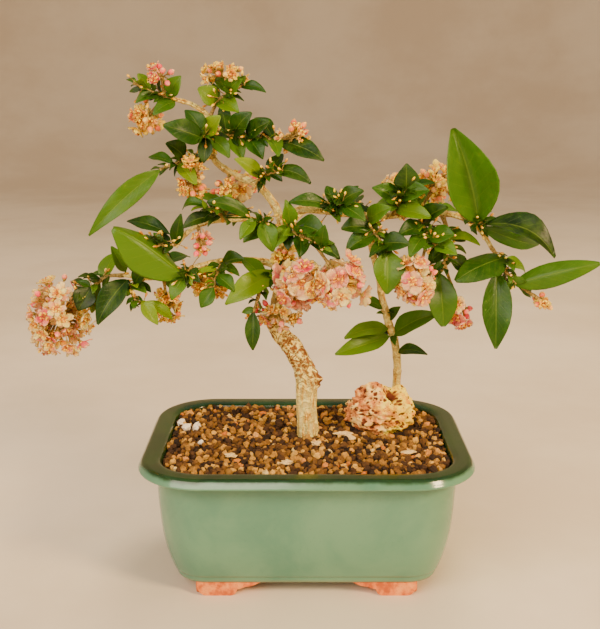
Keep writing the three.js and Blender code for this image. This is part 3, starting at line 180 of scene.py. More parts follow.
# Fine relief: a grain of so many bumps a metre, as deep as the depth in metres
fine_relief, given, out = new_group(
    "fine_relief",
    [("Place", "Vector", None), ("Scale", "Float", 600.0), ("Detail", "Float", 3.0),
     ("Hollows", "Float", 0.0), ("Depth", "Float", 0.0004), ("Strength", "Float", 0.5)],
    [("Normal", "Vector")])
grain = add_node(fine_relief, "ShaderNodeTexNoise", {
    "Vector": given["Place"], "Scale": given["Scale"], "Detail": given["Detail"]})
height = add_node(fine_relief, "ShaderNodeMath", {0: grain.outputs["Fac"], 1: given["Hollows"]},
                  operation="SUBTRACT")
tilted = add_node(fine_relief, "ShaderNodeBump", {
    "Height": height.outputs[0], "Distance": given["Depth"], "Strength": given["Strength"]})
fine_relief.links.new(tilted.outputs["Normal"], out["Normal"])


def clouds(tree, place, scale, **values):
    """Cloudy patches in a material, as a mask."""
    return use(tree, mottle, "Mask", Place=place, Scale=scale, **values)


def bumps(tree, place, scale, **values):
    """Fine relief in a material."""
    return use(tree, fine_relief, "Normal", Place=place, Scale=scale, **values)



plaster, tree, shader = finish("pale_plaster", Roughness=0.8)
place = object_place(tree)
feed(tree, shader,
     Base_Color=ramp(tree, clouds(tree, place, 2.2, Detail=6.0), [
         (0, 216, 200, 178), (1, 232, 219, 200)]),
     Normal=bumps(tree, place, 160.0, Strength=0.25))

sweep = np.linspace(0, math.pi / 2, 14)
section = np.concatenate([
    [[FLOOR_FLAT / 2, 0]],
    np.stack([FLOOR_FLAT + FLOOR_SWEEP * np.sin(sweep), FLOOR_SWEEP * (1 - np.cos(sweep))], -1),
    [[FLOOR_FLAT + FLOOR_SWEEP, WALL_TOP]]])
turn = turns(FLOOR_SIDES)
bowl = np.stack([section[:, :1] * np.cos(turn), section[:, :1] * np.sin(turn),
                 np.broadcast_to(section[:, 1:], (len(section), FLOOR_SIDES))], axis=-1)
index = np.arange(bowl[..., 0].size).reshape(bowl.shape[:2])
beside = np.roll(index, -1, axis=1)
bowl_faces = np.stack([index[:-1], beside[:-1], beside[1:], index[1:]], -1).reshape(-1, 4)
floor_mesh = bpy.data.meshes.new("floor")
floor_mesh.from_pydata(bowl.reshape(-1, 3), [], [index[0].tolist()] + bowl_faces[:, ::-1].tolist())
floor_mesh.polygons.foreach_set("use_smooth", np.ones(len(floor_mesh.polygons), bool))
floor_mesh.materials.append(plaster)
floor = bpy.data.objects.new("floor", floor_mesh)
bpy.context.collection.objects.link(floor)

for name, plan in LAMPS.items():
    lamp = bpy.data.lights.new(name, "AREA")
    lamp.shape = "RECTANGLE"
    lamp.size = plan["width"]
    lamp.size_y = plan.get("height", plan["width"])
    lamp.energy = plan["power"]
    lamp.color = colour(*plan["tone"])[:3]
    holder = bpy.data.objects.new(name, lamp)
    holder.location = plan["spot"]
    holder.rotation_euler = (AIMED_AT - Vector(plan["spot"])).to_track_quat("-Z", "Y").to_euler()
    holder.visible_glossy = name != "high_lamp"
    bpy.context.collection.objects.link(holder)

air = bpy.data.worlds.new("room")
bpy.context.scene.world = air
air.use_nodes = True
air.node_tree.nodes["Background"].inputs["Color"].default_value = colour(228, 214, 196)
air.node_tree.nodes["Background"].inputs["Strength"].default_value = 0.7


# The glazed pot: a stoneware bonsai pot, pressed in a mould as a soft-cornered oblong bowl with a
# broad flat lip. It is dipped in a glossy sea-green glaze, which turns dark olive where it runs
# thin over the lip, and two drain holes are cut through its floor. The wall inside the bowl is
# painted the same dark olive as painted shade.

RIM_LENGTH = 203
RIM_WIDTH = 152
RIM_HEIGHT = 84
RIM_CORNER = 40
SMALLEST_CORNER = 14
FOOT_HEIGHT = 8.5
FLOOR_HEIGHT = 13
DRAIN_RADIUS = 6.5
DRAIN_OFFSET = 32
DRAIN_SIDES = 48
INSIDE_STEPS, LIP_STEPS, WALL_STEPS, BASE_STEPS = 26, 64, 30, 24
INSIDE_RINGS = 34
CORNER_STEPS = 12

# Insets from the rim's edge and heights: up the inside from the floor to the lip, over the lip and
# round under it, down the wall, and round the base to its flat underside
POT_INSIDE = [[38, FLOOR_HEIGHT], [33, 13.4], [29, 15], [24.5, 19], [21.5, 25], [19.2, 34],
              [17.5, 44], [15.6, 66], [14.3, 80.5]]
POT_LIP = [[14.3, 80.5], [13.7, 82.2], [12.4, 83.4], [10.8, 83.9], [6, RIM_HEIGHT], [3.5, 83.8],
           [2.4, 83.1], [1.4, 81.6], [0.6, 80.1], [0, 78.8], [0.4, 78.1], [1.4, 77.8], [3.6, 77.8],
           [8.4, 77.8], [10.2, 77.3], [10.8, 75.8]]
POT_WALL = [[10.8, 75.8], [11.3, 64], [12, 52], [13.3, 39], [15.4, 28], [17.6, 20.5], [19.3, 15.6]]
POT_BASE = [[19.3, 15.6], [19.9, 14.2], [20.8, 13.7], [21.2, 12.6], [21.5, 10.8], [22.3, 9.4],
            [24.6, 8.6], [34, FOOT_HEIGHT]]


def pot_rings(insets, heights):
    """Level rings, each an oblong set in from the rim's edge by its inset. Its four corners are
    quarter circles, as round as the rim's less the inset, and never under the smallest."""
    insets = np.asarray(insets, float)[:, None]
    corner = np.maximum(RIM_CORNER - insets, SMALLEST_CORNER)
    quarter = np.linspace(0, math.pi / 2, CORNER_STEPS)
    angles = (quarter + (np.arange(4)[:, None] - 1) * math.pi / 2).ravel()
    sign_x = np.repeat([1, 1, -1, -1], CORNER_STEPS)
    sign_y = np.repeat([-1, 1, 1, -1], CORNER_STEPS)
    x = sign_x * (RIM_LENGTH / 2 - insets - corner) + corner * np.cos(angles)
    y = sign_y * (RIM_WIDTH / 2 - insets - corner) + corner * np.sin(angles)
    return np.stack([x, y, np.broadcast_to(np.asarray(heights, float)[:, None], x.shape)], axis=-1)


def curve_through(points, steps):
    """Points evenly spaced on a smooth curve through the given ones. Between two of them runs a
    cubic, whose slopes weigh the neighbours by the square roots of their distances."""
    points = np.asarray(points, float)
    row = np.concatenate([[2 * points[0] - points[1]], points, [2 * points[-1] - points[-2]]])
    gaps = np.linalg.norm(np.diff(row, axis=0), axis=1)[:, None] ** 0.5
    before, here, after = gaps[:-2], gaps[1:-1], gaps[2:]
    p0, p1, p2, p3 = row[:-3], row[1:-2], row[2:-1], row[3:]
    leave = ((p1 - p0) / before - (p2 - p0) / (before + here)) * here + p2 - p1
    arrive = ((p3 - p2) / after - (p3 - p1) / (here + after)) * here + p2 - p1
    t = np.linspace(0, 1, 33)[:-1, None]
    square = -3 * p1 + 3 * p2 - 2 * leave - arrive
    cube = 2 * p1 - 2 * p2 + leave + arrive
    fine = p1[:, None] + leave[:, None] * t + square[:, None] * t ** 2 + cube[:, None] * t ** 3
    fine = np.concatenate([fine.reshape(-1, points.shape[1]), points[-1:]])
    run = np.concatenate([[0], np.cumsum(np.linalg.norm(np.diff(fine, axis=0), axis=1))])
    wanted = np.linspace(0, run[-1], steps + 1)
    return np.stack([np.interp(wanted, run, axis) for axis in fine.T], axis=-1)


def ring_quads(rings, sides):
    """Quads from ring to ring of a grid of points, closed across, facing out where each ring runs
    anticlockwise about the way that the rings travel."""
    index = np.arange(rings * sides).reshape(rings, sides)
    beside = np.roll(index, -1, axis=1)
    return np.stack([index[:-1], beside[:-1], beside[1:], index[1:]], axis=-1).reshape(-1, 4)


def add_piece(name, points, faces, materials, material_of=None, marks=None, smooth=True):
    """One mesh at the origin, its points given in millimetres. marks are values kept per point."""
    mesh = bpy.data.meshes.new(name)
    mesh.from_pydata(np.asarray(points) / 1000, [], faces)
    for material in materials:
        mesh.materials.append(material)
    if material_of is not None:
        mesh.polygons.foreach_set("material_index", np.asarray(material_of, np.int32))
    for label, values in (marks or {}).items():
        values = np.asarray(values, np.float32)
        kind, field = ("FLOAT", "value") if values.ndim == 1 else ("FLOAT_VECTOR", "vector")
        mesh.attributes.new(label, kind, "POINT").data.foreach_set(field, values.ravel())
    mesh.polygons.foreach_set("use_smooth", np.full(len(mesh.polygons), smooth))
    mesh.update()
    piece = bpy.data.objects.new(name, mesh)
    bpy.context.collection.objects.link(piece)
    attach(piece, "root")
    return piece


profile = np.concatenate([
    curve_through(POT_INSIDE, INSIDE_STEPS)[:-1], curve_through(POT_LIP, LIP_STEPS)[:-1],
    curve_through(POT_WALL, WALL_STEPS)[:-1], curve_through(POT_BASE, BASE_STEPS)])
shell = pot_rings(profile[:, 0], profile[:, 1])
rings, sides = shell.shape[:2]
shell_quads = ring_quads(rings, sides)[:, ::-1]

turn = turns(DRAIN_SIDES)
circle = np.stack([np.cos(turn), np.sin(turn), 0 * turn], axis=-1) * DRAIN_RADIUS
drains = np.stack([
    circle + [side * DRAIN_OFFSET, 0, height]
    for side in (-1, 1) for height in (FLOOR_HEIGHT, FOOT_HEIGHT)])
points = np.concatenate([shell.reshape(-1, 3), drains.reshape(-1, 3)])
drain_loops = np.arange(4 * DRAIN_SIDES).reshape(4, DRAIN_SIDES) + rings * sides
inner_loops = [np.arange(sides), drain_loops[0], drain_loops[2]]
under_loops = [np.arange(sides) + (rings - 1) * sides, drain_loops[1], drain_loops[3]]


def flat_with_holes(loops, upward):
    """Triangles of a flat, bounded by the first loop and cut by the others, facing up or down."""
    order = np.concatenate(loops)
    outlines = [[Vector(point) for point in points[loop]] for loop in loops]
    corners = order[np.array(tessellate_polygon(outlines))]
    a, b, c = (points[corners[:, k]] for k in range(3))
    faces_up = np.cross(b - a, c - a)[:, 2] > 0
    corners[faces_up != upward] = corners[faces_up != upward][:, ::-1]
    return corners


drain_quads = np.concatenate([ring_quads(2, DRAIN_SIDES) + drain_loops[k, 0] for k in (0, 2)])
faces = [*shell_quads.tolist(), *drain_quads.tolist(),
         *flat_with_holes(inner_loops, True).tolist(),
         *flat_with_holes(under_loops, False).tolist()]


def number(tree, kind, first, second=0.0, third=0.0):
    """One step of arithmetic on numbers that change over the surface."""
    made = add_node(tree, "ShaderNodeMath", {0: first, 1: second, 2: third}, operation=kind)
    return made.outputs[0]


def mix(tree, factor, first, second, blend="MIX"):
    """A blend of two colours."""
    made = add_node(tree, "ShaderNodeMix", {0: factor, 6: first, 7: second}, data_type="RGBA",
                    blend_type=blend)
    return made.outputs[2]


def tinged(tree, mask, share, first, second, blend="MIX"):
    """A colour with a share of a second one where the mask is."""
    return mix(tree, number(tree, "MULTIPLY", mask, share), first, second, blend)


def part_of(tree, vector, axis):
    """One of a vector's three numbers."""
    return add_node(tree, "ShaderNodeSeparateXYZ", {0: vector}).outputs[axis]


# Scattered dots: round cells, as many a metre as the scale, filled out to the size given, and
# thinned out at random, cell by cell, to the share given
dots, given, out = new_group(
    "dots",
    [("Place", "Vector", None), ("Scale", "Float", 300.0), ("Size", "Float", 0.25),
     ("Share", "Float", 0.5)],
    [("Mask", "Float")])
cells = add_node(dots, "ShaderNodeTexVoronoi", {"Vector": given["Place"], "Scale": given["Scale"]})
inner = number(dots, "MULTIPLY", given["Size"], 0.5)
filled = spread(dots, cells.outputs["Distance"], inner, given["Size"], 1, 0)
pick = part_of(dots, cells.outputs["Color"], "X")
chosen = number(dots, "LESS_THAN", pick, given["Share"])
dots.links.new(number(dots, "MULTIPLY", filled, chosen), out["Mask"])


def dotted(tree, place, scale, size, share):
    """Scattered dots in a material, as a mask."""
    return use(tree, dots, "Mask", Place=place, Scale=scale, Size=size, Share=share)



glaze, tree, shader = finish("sea_green_glaze", Roughness=0.16, Coat_Weight=0.35,
                             Coat_Roughness=0.14, Specular_IOR_Level=0.42)
place = object_place(tree)
height = part_of(tree, place, "Z")
pooled = clouds(tree, place, 18.0, Detail=5.0, Twist=0.4)
body = mix(tree, pooled, colour(80, 130, 108), colour(100, 146, 118))
specks = dotted(tree, place, 520.0, 0.2, 0.25)
body = tinged(tree, specks, 0.3, body, colour(58, 84, 58))
runs = clouds(tree, place, 60.0, Low=0.3, High=0.7)
thin = spread(tree, number(tree, "MULTIPLY_ADD", runs, 0.0012, height), 0.0812, 0.0838)
# Painted shade: the marked inside of the bowl takes the dark olive of the thin glaze.
thin = number(tree, "MAXIMUM", thin, marked(tree, "inside"))
olive = mix(tree, runs, colour(8, 44, 16), colour(26, 62, 22))
body = mix(tree, thin, body, olive)
low = spread(tree, height, 0.009, 0.0125, 0.35, 0)
body = mix(tree, low, body, colour(150, 112, 76))
feed(tree, shader, Base_Color=body, Roughness=number(tree, "MULTIPLY_ADD", runs, 0.12, 0.14),
     Normal=bumps(tree, place, 45.0, Depth=0.0006, Strength=0.14))

inside = np.zeros(len(points))
inside[:INSIDE_RINGS * sides] = 1
pot = add_piece("pot_glazed_bowl", points, faces, [glaze], marks={"inside": inside})
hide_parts("pot")

# The pot's feet: four corner feet of the bare orange clay, pressed with the bowl and wiped free of
# glaze so that they don't stick to the kiln shelf. Each leg ends in a cloud scroll.

FOOT_OUTER_X = 67
FOOT_OUTER_Y = 53
LEG_LENGTH_X = 40
LEG_LENGTH_Y = 27
LEG_WIDTH = 11
FOOT_ROUND = 6
SCROLL_RADIUS = 4.2
FOOT_SINK = 1.5
LEG_SET_BACK = 0.6
ARC_STEPS = 9
FOOT_BEVEL = 0.9


def leg_outline(length):
    """A leg's side view: a quarter circle at its outer foot, flat along the ground, a
    quarter-round scroll at mid length, then two shallow scallops, each a parabola, up to the
    bowl."""
    top = FOOT_HEIGHT + FOOT_SINK
    outer = np.linspace(math.pi, 1.5 * math.pi, ARC_STEPS)
    scroll = np.linspace(-math.pi / 2, 0, ARC_STEPS)
    rise = np.linspace(0, 1, ARC_STEPS)[1:, None]
    knots = np.array([
        [length / 2 + SCROLL_RADIUS, SCROLL_RADIUS], [length * 0.68, SCROLL_RADIUS * 1.1],
        [length * 0.74, FOOT_ROUND], [length * 0.84, FOOT_ROUND * 0.93], [length, top]])
    scallops = [(1 - rise) ** 2 * knots[k] + 2 * rise * (1 - rise) * knots[k + 1]
                + rise ** 2 * knots[k + 2] for k in (0, 2)]
    return np.concatenate([
        [[0, top]],
        np.stack([FOOT_ROUND + FOOT_ROUND * np.cos(outer),
                  FOOT_ROUND + FOOT_ROUND * np.sin(outer)], -1),
        np.stack([length / 2 + SCROLL_RADIUS * np.cos(scroll),
                  SCROLL_RADIUS + SCROLL_RADIUS * np.sin(scroll)], -1),
        *scallops])


def leg_solid(length, along_y, sign_x, sign_y):
    """The outline pushed through the leg's width, laid along X or Y and mirrored to its corner."""
    outline = leg_outline(length)
    count = len(outline)
    near = np.stack([outline[:, 0] + LEG_SET_BACK, np.zeros(count), outline[:, 1]], axis=-1)
    solid = np.concatenate([near, near + [0, LEG_WIDTH, 0]])
    if along_y:
        solid = solid[:, [1, 0, 2]]
    solid = (solid - [FOOT_OUTER_X, FOOT_OUTER_Y, 0]) * [-sign_x, -sign_y, 1]
    index = np.arange(count)
    beside = np.roll(index, -1)
    around = np.stack([index, index + count, beside + count, beside], axis=-1)
    flip = -1 if (sign_x * sign_y < 0) != along_y else 1
    walls = [face[::flip] for face in around.tolist()]
    return solid, walls + [index.tolist()[::flip], (index + count).tolist()[::-flip]]


clay, tree, shader = finish("bare_clay", Roughness=0.85)
place = object_place(tree)
tone = ramp(tree, clouds(tree, place, 140.0, Detail=6.0), [
    (0, 192, 88, 30), (0.5, 228, 126, 56), (1, 242, 156, 84)])
sandy = dotted(tree, place, 900.0, 0.3, 0.4)
feed(tree, shader,
     Base_Color=tinged(tree, sandy, 0.35, tone, colour(140, 74, 46)),
     Normal=bumps(tree, place, 900.0, Hollows=sandy, Depth=0.0003))
points, faces = np.empty((0, 3)), []
for sign_x in (-1, 1):
    for sign_y in (-1, 1):
        for length, along_y in ((LEG_LENGTH_X, False), (LEG_LENGTH_Y, True)):
            solid, solid_faces = leg_solid(length, along_y, sign_x, sign_y)
            faces += [[corner + len(points) for corner in face] for face in solid_faces]
            points = np.concatenate([points, solid])
feet = add_piece("pot_feet", points, faces, [clay])
edges = feet.modifiers.new("softened_edges", "BEVEL")
edges.width = FOOT_BEVEL / 1000
edges.segments = 3
edges.limit_method = "ANGLE"
edges.angle_limit = math.radians(40)
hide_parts("pot")

# The drain screens: two squares of black-green plastic net on the pot's floor, cut from a roll and
# laid over the drain holes, which keep the grit in.

net, tree, shader = finish("plastic_net", Roughness=0.45)
place = object_place(tree)
feed(tree, shader,
     Base_Color=mix(tree, clouds(tree, place, 500.0), colour(26, 34, 28), colour(44, 54, 46)),
     Normal=bumps(tree, place, 1500.0, Depth=0.0001))
for name in ("drain_screen_left", "drain_screen_right"):
    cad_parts[name].material_slots[0].material = net

# The soil and its grit: fast-draining potting grit of baked clay, crushed stone and a little bark,
# 2 to 5 mm across, poured up to the lip over a darker fill and raked level by hand. A few grains
# are white pumice, and a few flat chips lie among them.

SOIL_HEIGHT = 81.6
SOIL_INSET = 14.9
GRIT_RELIEF = 1.1
SOIL_SWELL = 1.2
# The fine layer lies lower, in the gaps between the coarse grains, and its tones are drawn darker
# there as painted shade.
GRIT_LAYERS = [
    {"name": "grit_fine", "spacing": 2.8, "size": (1.0, 1.7), "lift": -0.9, "dark": 5.0,
     "sides": 5, "rings": 2},
    {"name": "grit_coarse", "spacing": 4.1, "size": (1.45, 2.6), "lift": 0.5, "dark": 2.6,
     "sides": 7, "rings": 3},
]
TRUNK_FOOT = [0.2, 6, 8.4]
STEM_FOOT = [62, 40, 4.2]
STONE_FOOT = [48.8, 19, 24, 15.5]
BED_REACH = (90, 66)
STAGGERED_ROW = 0.87
BIG_GRAIN = {"sides": 9, "rings": 5}
GRAIN_LIFT = 2.8
CHIP_LIFT = 2.2
CHIP_TONE = 0.91
WHITE_GRAINS = [[-82.6, 27, 2.4], [-78, 12, 2.9], [-72, 17.5, 2.8], [-76.8, 20, 2.0],
                [-66, -12, 1.9]]
FLAT_CHIPS = [[24, 1.5, 6.4, 2.6, 1.3], [27.5, -5.5, 3.4, 3.6, 1.5], [-46, -36, 4.2, 3.0, 1.2],
              [62, -28, 4.4, 2.8, 1.2], [-12, -44, 3.6, 3.2, 1.4], [6, -18, 3.2, 2.4, 1.3]]


def soil_top(x, y):
    """The fill's height: a low swell to the middle, and a ripple as fine as the grit."""
    swell = SOIL_SWELL * (np.cos(x / 45) * np.cos(y / 40) - 0.8)
    grit = np.sin(x * 1.9 + 3 * np.sin(y * 0.8)) * np.cos(y * 1.7 + 2 * np.sin(x * 0.6))
    return SOIL_HEIGHT + swell + GRIT_RELIEF * grit


def turned(draw, count):
    """As many rotations as asked for, drawn evenly from all that there are."""
    four = draw.normal(size=(4, count))
    w, x, y, z = four / np.linalg.norm(four, axis=0)
    return np.array([
        [1 - 2 * (y * y + z * z), 2 * (x * y - z * w), 2 * (x * z + y * w)],
        [2 * (x * y + z * w), 1 - 2 * (x * x + z * z), 2 * (y * z - x * w)],
        [2 * (x * z - y * w), 2 * (y * z + x * w), 1 - 2 * (x * x + y * y)]]).transpose(2, 0, 1)


def closed_skins(grids, **marks):
    """Closed skins over grids of points [shape, ring, side]. Quads join each ring to the next, and
    the middle of the first ring and of the last closes the end with a fan. Marks are kept per
    point in the same way."""
    count, rings, sides = grids.shape[:3]
    each = rings * sides + 2

    def with_ends(values):
        rows = values.reshape((count, -1) + values.shape[3:])
        rows = np.concatenate([values[:, :1].mean(2), rows, values[:, -1:].mean(2)], axis=1)
        return rows.reshape((-1,) + rows.shape[2:])

    quads = ring_quads(rings, sides) + 1
    side = np.arange(sides)
    beside = np.roll(side, -1)
    last = 1 + (rings - 1) * sides
    fans = np.concatenate([
        np.stack([0 * side, beside + 1, side + 1], axis=-1),
        np.stack([side + last, beside + last, 0 * side + each - 1], axis=-1)])
    starts = np.arange(count)[:, None, None] * each
    return {
        "points": with_ends(grids),
        "marks": {key: with_ends(values) for key, values in marks.items()},
        "quads": (quads + starts).reshape(-1, 4), "fans": (fans + starts).reshape(-1, 3)}


def add_skins(name, skins, materials, **settings):
    """One piece out of several sets of skins, each with the place of its material in the list."""
    points, faces, material_of, marks, first = [], [], [], {}, 0
    labels = {key: value.shape[1:] for skin, _ in skins for key, value in skin["marks"].items()}
    for skin, material in skins:
        count = len(skin["points"])
        points.append(skin["points"])
        faces += (skin["quads"] + first).tolist() + (skin["fans"] + first).tolist()
        material_of.append(np.full(len(skin["quads"]) + len(skin["fans"]), material))
        for key, shape in labels.items():
            marks.setdefault(key, []).append(skin["marks"].get(key, np.zeros((count,) + shape)))
        first += count
    return add_piece(name, np.concatenate(points), faces, materials, np.concatenate(material_of),
                     {key: np.concatenate(values) for key, values in marks.items()}, **settings)


def ball_ways(rings, sides):
    """Directions all round a ball, in rings from under it to over it, none of them at a pole."""
    polar = (np.arange(rings) + 0.75) / (rings + 0.5) * math.pi
    around = turns(sides)
    return np.stack([
        np.sin(polar)[:, None] * np.cos(around), np.sin(polar)[:, None] * np.sin(around),
        np.broadcast_to(-np.cos(polar)[:, None], (rings, sides))], axis=-1)


def chipped(draw, count, rings, sides):
    """Balls one unit in radius whose reach wanders with the direction."""
    ways = ball_ways(rings, sides)
    waves = ways @ draw.normal(0, 2.6, (count, 1, 3, 1))
    wander = np.sin(waves + draw.uniform(0, 6, (count, 1, 1, 1)))
    reach = (1 + 0.22 * wander[..., 0]) * draw.uniform(0.86, 1.14, (count, rings, sides))
    return ways * reach[..., None]


def grains(draw, places, sizes, sides, rings):
    """Chipped grains, squashed three ways and turned at random."""
    count = len(places)
    form = chipped(draw, count, rings, sides) * draw.uniform(0.72, 1.2, (count, 1, 1, 3))
    form = np.einsum("nij,nrsj->nrsi", turned(draw, count), form)
    return form * sizes[:, None, None, None] + places[:, None, None]


def in_oblong(x, y, inset):
    """True inside the pot's oblong, set in from the rim's edge."""
    corner = max(RIM_CORNER - inset, SMALLEST_CORNER)
    past_x = np.abs(x) - (RIM_LENGTH / 2 - inset - corner)
    past_y = np.abs(y) - (RIM_WIDTH / 2 - inset - corner)
    return np.hypot(np.maximum(past_x, 0), np.maximum(past_y, 0)) < corner


earth, tree, shader = finish("damp_fill", Roughness=0.95)
place = object_place(tree)
feed(tree, shader,
     Base_Color=mix(tree, clouds(tree, place, 420.0, Detail=5.0),
                    colour(22, 13, 7), colour(66, 42, 22)),
     Normal=bumps(tree, place, 600.0, Depth=0.001, Strength=0.9))
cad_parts["soil"].material_slots[0].material = earth

grit, tree, shader = finish("potting_grit", Roughness=0.86)
place = object_place(tree)
tone = ramp(tree, marked(tree, "tint"), [
    (0.0, 22, 12, 4), (0.2, 72, 44, 16), (0.38, 124, 84, 28),
    (0.55, 184, 134, 48), (0.7, 228, 180, 84), (0.82, 206, 118, 34),
    (0.9, 238, 206, 128), (0.97, 252, 244, 226)])
dusty = clouds(tree, place, 900.0, Detail=3.0)
worn = dotted(tree, place, 1500.0, 0.35, 0.5)
tone = tinged(tree, dusty, 0.35, tone, colour(120, 76, 44), "MULTIPLY")
feed(tree, shader,
     Base_Color=tinged(tree, worn, 0.3, tone, colour(60, 34, 18)),
     Normal=bumps(tree, place, 1400.0, Hollows=worn, Strength=0.6))

draw = np.random.default_rng(11)
for layer in GRIT_LAYERS:
    step = layer["spacing"]
    rows = np.arange(-BED_REACH[1], BED_REACH[1], step * STAGGERED_ROW)
    x, y = np.meshgrid(np.arange(-BED_REACH[0], BED_REACH[0], step), rows)
    x = x + (np.arange(len(rows))[:, None] % 2) * step / 2
    x = x.ravel() + draw.normal(0, step / 5, x.size)
    y = y.ravel() + draw.normal(0, step / 5, y.size)
    size = draw.uniform(*layer["size"], x.size)
    kept = in_oblong(x, y, SOIL_INSET + 0.7)
    kept &= np.hypot(x - TRUNK_FOOT[0], y - TRUNK_FOOT[1]) > TRUNK_FOOT[2]
    kept &= np.hypot(x - STEM_FOOT[0], y - STEM_FOOT[1]) > STEM_FOOT[2]
    kept &= np.hypot((x - STONE_FOOT[0]) / STONE_FOOT[2], (y - STONE_FOOT[1]) / STONE_FOOT[3]) > 1
    x, y, size = x[kept], y[kept], size[kept]
    level = SOIL_HEIGHT + (soil_top(x, y) - SOIL_HEIGHT) * 0.6 + layer["lift"]
    places = np.stack([x, y, level + draw.normal(0, 0.4, len(x))], axis=-1)
    tones = np.clip(draw.beta(1.5, layer["dark"], len(x)), 0, 0.9)
    shape = (len(x), layer["rings"], layer["sides"])
    skins = [closed_skins(grains(draw, places, size, layer["sides"], layer["rings"]),
                          tint=np.broadcast_to(tones[:, None, None], shape))]
    if layer["name"] == "grit_coarse":
        x, y, size = np.array(WHITE_GRAINS).T
        places = np.stack([x, y, soil_top(x, y) + GRAIN_LIFT], axis=-1)
        white = grains(draw, places, size, **BIG_GRAIN)
        skins.append(closed_skins(white, tint=np.ones(white.shape[:3])))
        x, y, *half = np.array(FLAT_CHIPS).T
        flat = chipped(draw, len(x), **BIG_GRAIN) * np.stack(half, axis=-1)[:, None, None]
        flat = flat + np.stack([x, y, soil_top(x, y) + CHIP_LIFT], axis=-1)[:, None, None]
        skins.append(closed_skins(flat, tint=np.full(flat.shape[:3], CHIP_TONE)))
    piece = add_skins(layer["name"], [(skin, 0) for skin in skins], [grit], smooth=False)

# The stone: a lump of weathered, pitted volcanic stone with two ragged peaks, pink all over, with
# painted warm light in ochre on its right side. It is picked for its shape and bedded a few
# millimetres into the grit.

STONE_CENTRE = np.array([48.8, 19, 92.9])
STONE_HALF = np.array([22.5, 16.2, 16.6])
STONE_RINGS = 130
STONE_SIDES = 200
PITS = 420
LUMPS = {"waves": 26, "low": 8, "high": 22}
CRUMBS = {"waves": 34, "low": 26, "high": 70}


def stone_swell(ways):
    """The skin's reach each way: a broad left peak and a narrow right one, each a bell curve, and
    lumps and knobs, each a product of waves."""
    x, y, z = np.moveaxis(ways, -1, 0)
    left = 0.36 * np.exp(-((x + 0.27) ** 2 + (y + 0.1) ** 2) * 9) * np.maximum(z, 0)
    right = 0.28 * np.exp(-((x - 0.62) ** 2 + (y - 0.1) ** 2) * 14) * np.maximum(z, 0)
    lumps = 0.07 * np.sin(7 * x + 2) * np.cos(6 * y - 5 * z)
    knobs = 0.05 * np.sin(13 * y + 4 * x) * np.sin(12 * z + 1)
    return 0.94 + left + right + lumps + knobs


def cleft(ways):
    """The depth of the dark hollow beside the right peak: a bell curve."""
    x, y, z = np.moveaxis(ways, -1, 0)
    return 0.5 * np.exp(-((x - 0.34) ** 2 * 44 + (y + 0.34) ** 2 * 12)) * np.maximum(z, 0)


def crumple(ways, draw, waves, low, high):
    """Roughness without a pattern: a sum of waves that run in random directions."""
    total = np.zeros(ways.shape[:-1])
    for _ in range(waves):
        pitch = draw.uniform(low, high)
        total += np.sin(ways @ (draw.normal(size=3) * pitch) + draw.uniform(0, 6)) / pitch
    return total


draw = np.random.default_rng(5)
ways = ball_ways(STONE_RINGS, STONE_SIDES)
centres = draw.normal(size=(PITS, 3))
centres /= np.linalg.norm(centres, axis=1)[:, None]
apart = np.arccos(np.clip(ways.reshape(-1, 3) @ centres.T, -1, 1))
widths = draw.uniform(0.028, 0.075, PITS)
depths = draw.uniform(0.02, 0.07, PITS)
pit = (depths * np.exp(-(apart / widths) ** 4)).max(axis=1).reshape(ways.shape[:2])
reach = (stone_swell(ways) - cleft(ways) - pit + 0.12 * crumple(ways, draw, **LUMPS)
         + 0.11 * crumple(ways, draw, **CRUMBS))
skin = STONE_CENTRE + ways * STONE_HALF * reach[..., None]

pumice, tree, shader = finish("pitted_stone", Roughness=0.9)
place = object_place(tree)
# Painted light: the right side of the stone turns ochre, as warm light falling on it from the
# right.
east = part_of(tree, place, "X")
patch = clouds(tree, place, 70.0, Detail=5.0, Twist=0.6)
painted_light_east_mask = spread(tree, number(tree, "MULTIPLY_ADD", patch, 0.016, east), 0.05, 0.068)
cloud = clouds(tree, place, 150.0, Detail=6.0, Low=0.32, High=0.68)
pinkish = ramp(tree, cloud, [
    (0, 146, 76, 36), (0.45, 220, 140, 72), (0.75, 250, 196, 106),
    (1, 255, 228, 146)])
painted_lit_ochre = ramp(tree, cloud, [
    (0, 240, 156, 12), (0.3, 255, 214, 26), (1, 255, 246, 84)])
tone = mix(tree, painted_light_east_mask, pinkish, painted_lit_ochre)
rusty = clouds(tree, place, 230.0, Detail=4.0, Low=0.56, High=0.7)
tone = tinged(tree, rusty, 0.45, tone, colour(196, 100, 40))
# Painted shade: the hollow and the small pits are darkened towards dark brown, as the shade in
# them.
small_pits = dotted(tree, place, 420.0, 0.34, 0.42)
dark = number(tree, "MAXIMUM", spread(tree, marked(tree, "hollow"), 0.3, 0.85), small_pits)
feed(tree, shader,
     Base_Color=mix(tree, dark, tone, colour(104, 44, 16)),
     Normal=bumps(tree, place, 700.0, Detail=6.0, Hollows=small_pits, Depth=0.0009,
                  Strength=0.85))
hollow = np.clip(pit / 0.055 + cleft(ways) * 4.5, 0, 1)
stone = add_skins("stone_lump", [(closed_skins(skin[None], hollow=hollow[None]), 0)], [pumice])
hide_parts("stone")


# The trunk and its limbs: one grown piece of wood, pale and ridged along its length, with brown
# flakes and a gnarled knob where it was bent with wire. It forks into limbs that thin out towards
# the leaves.

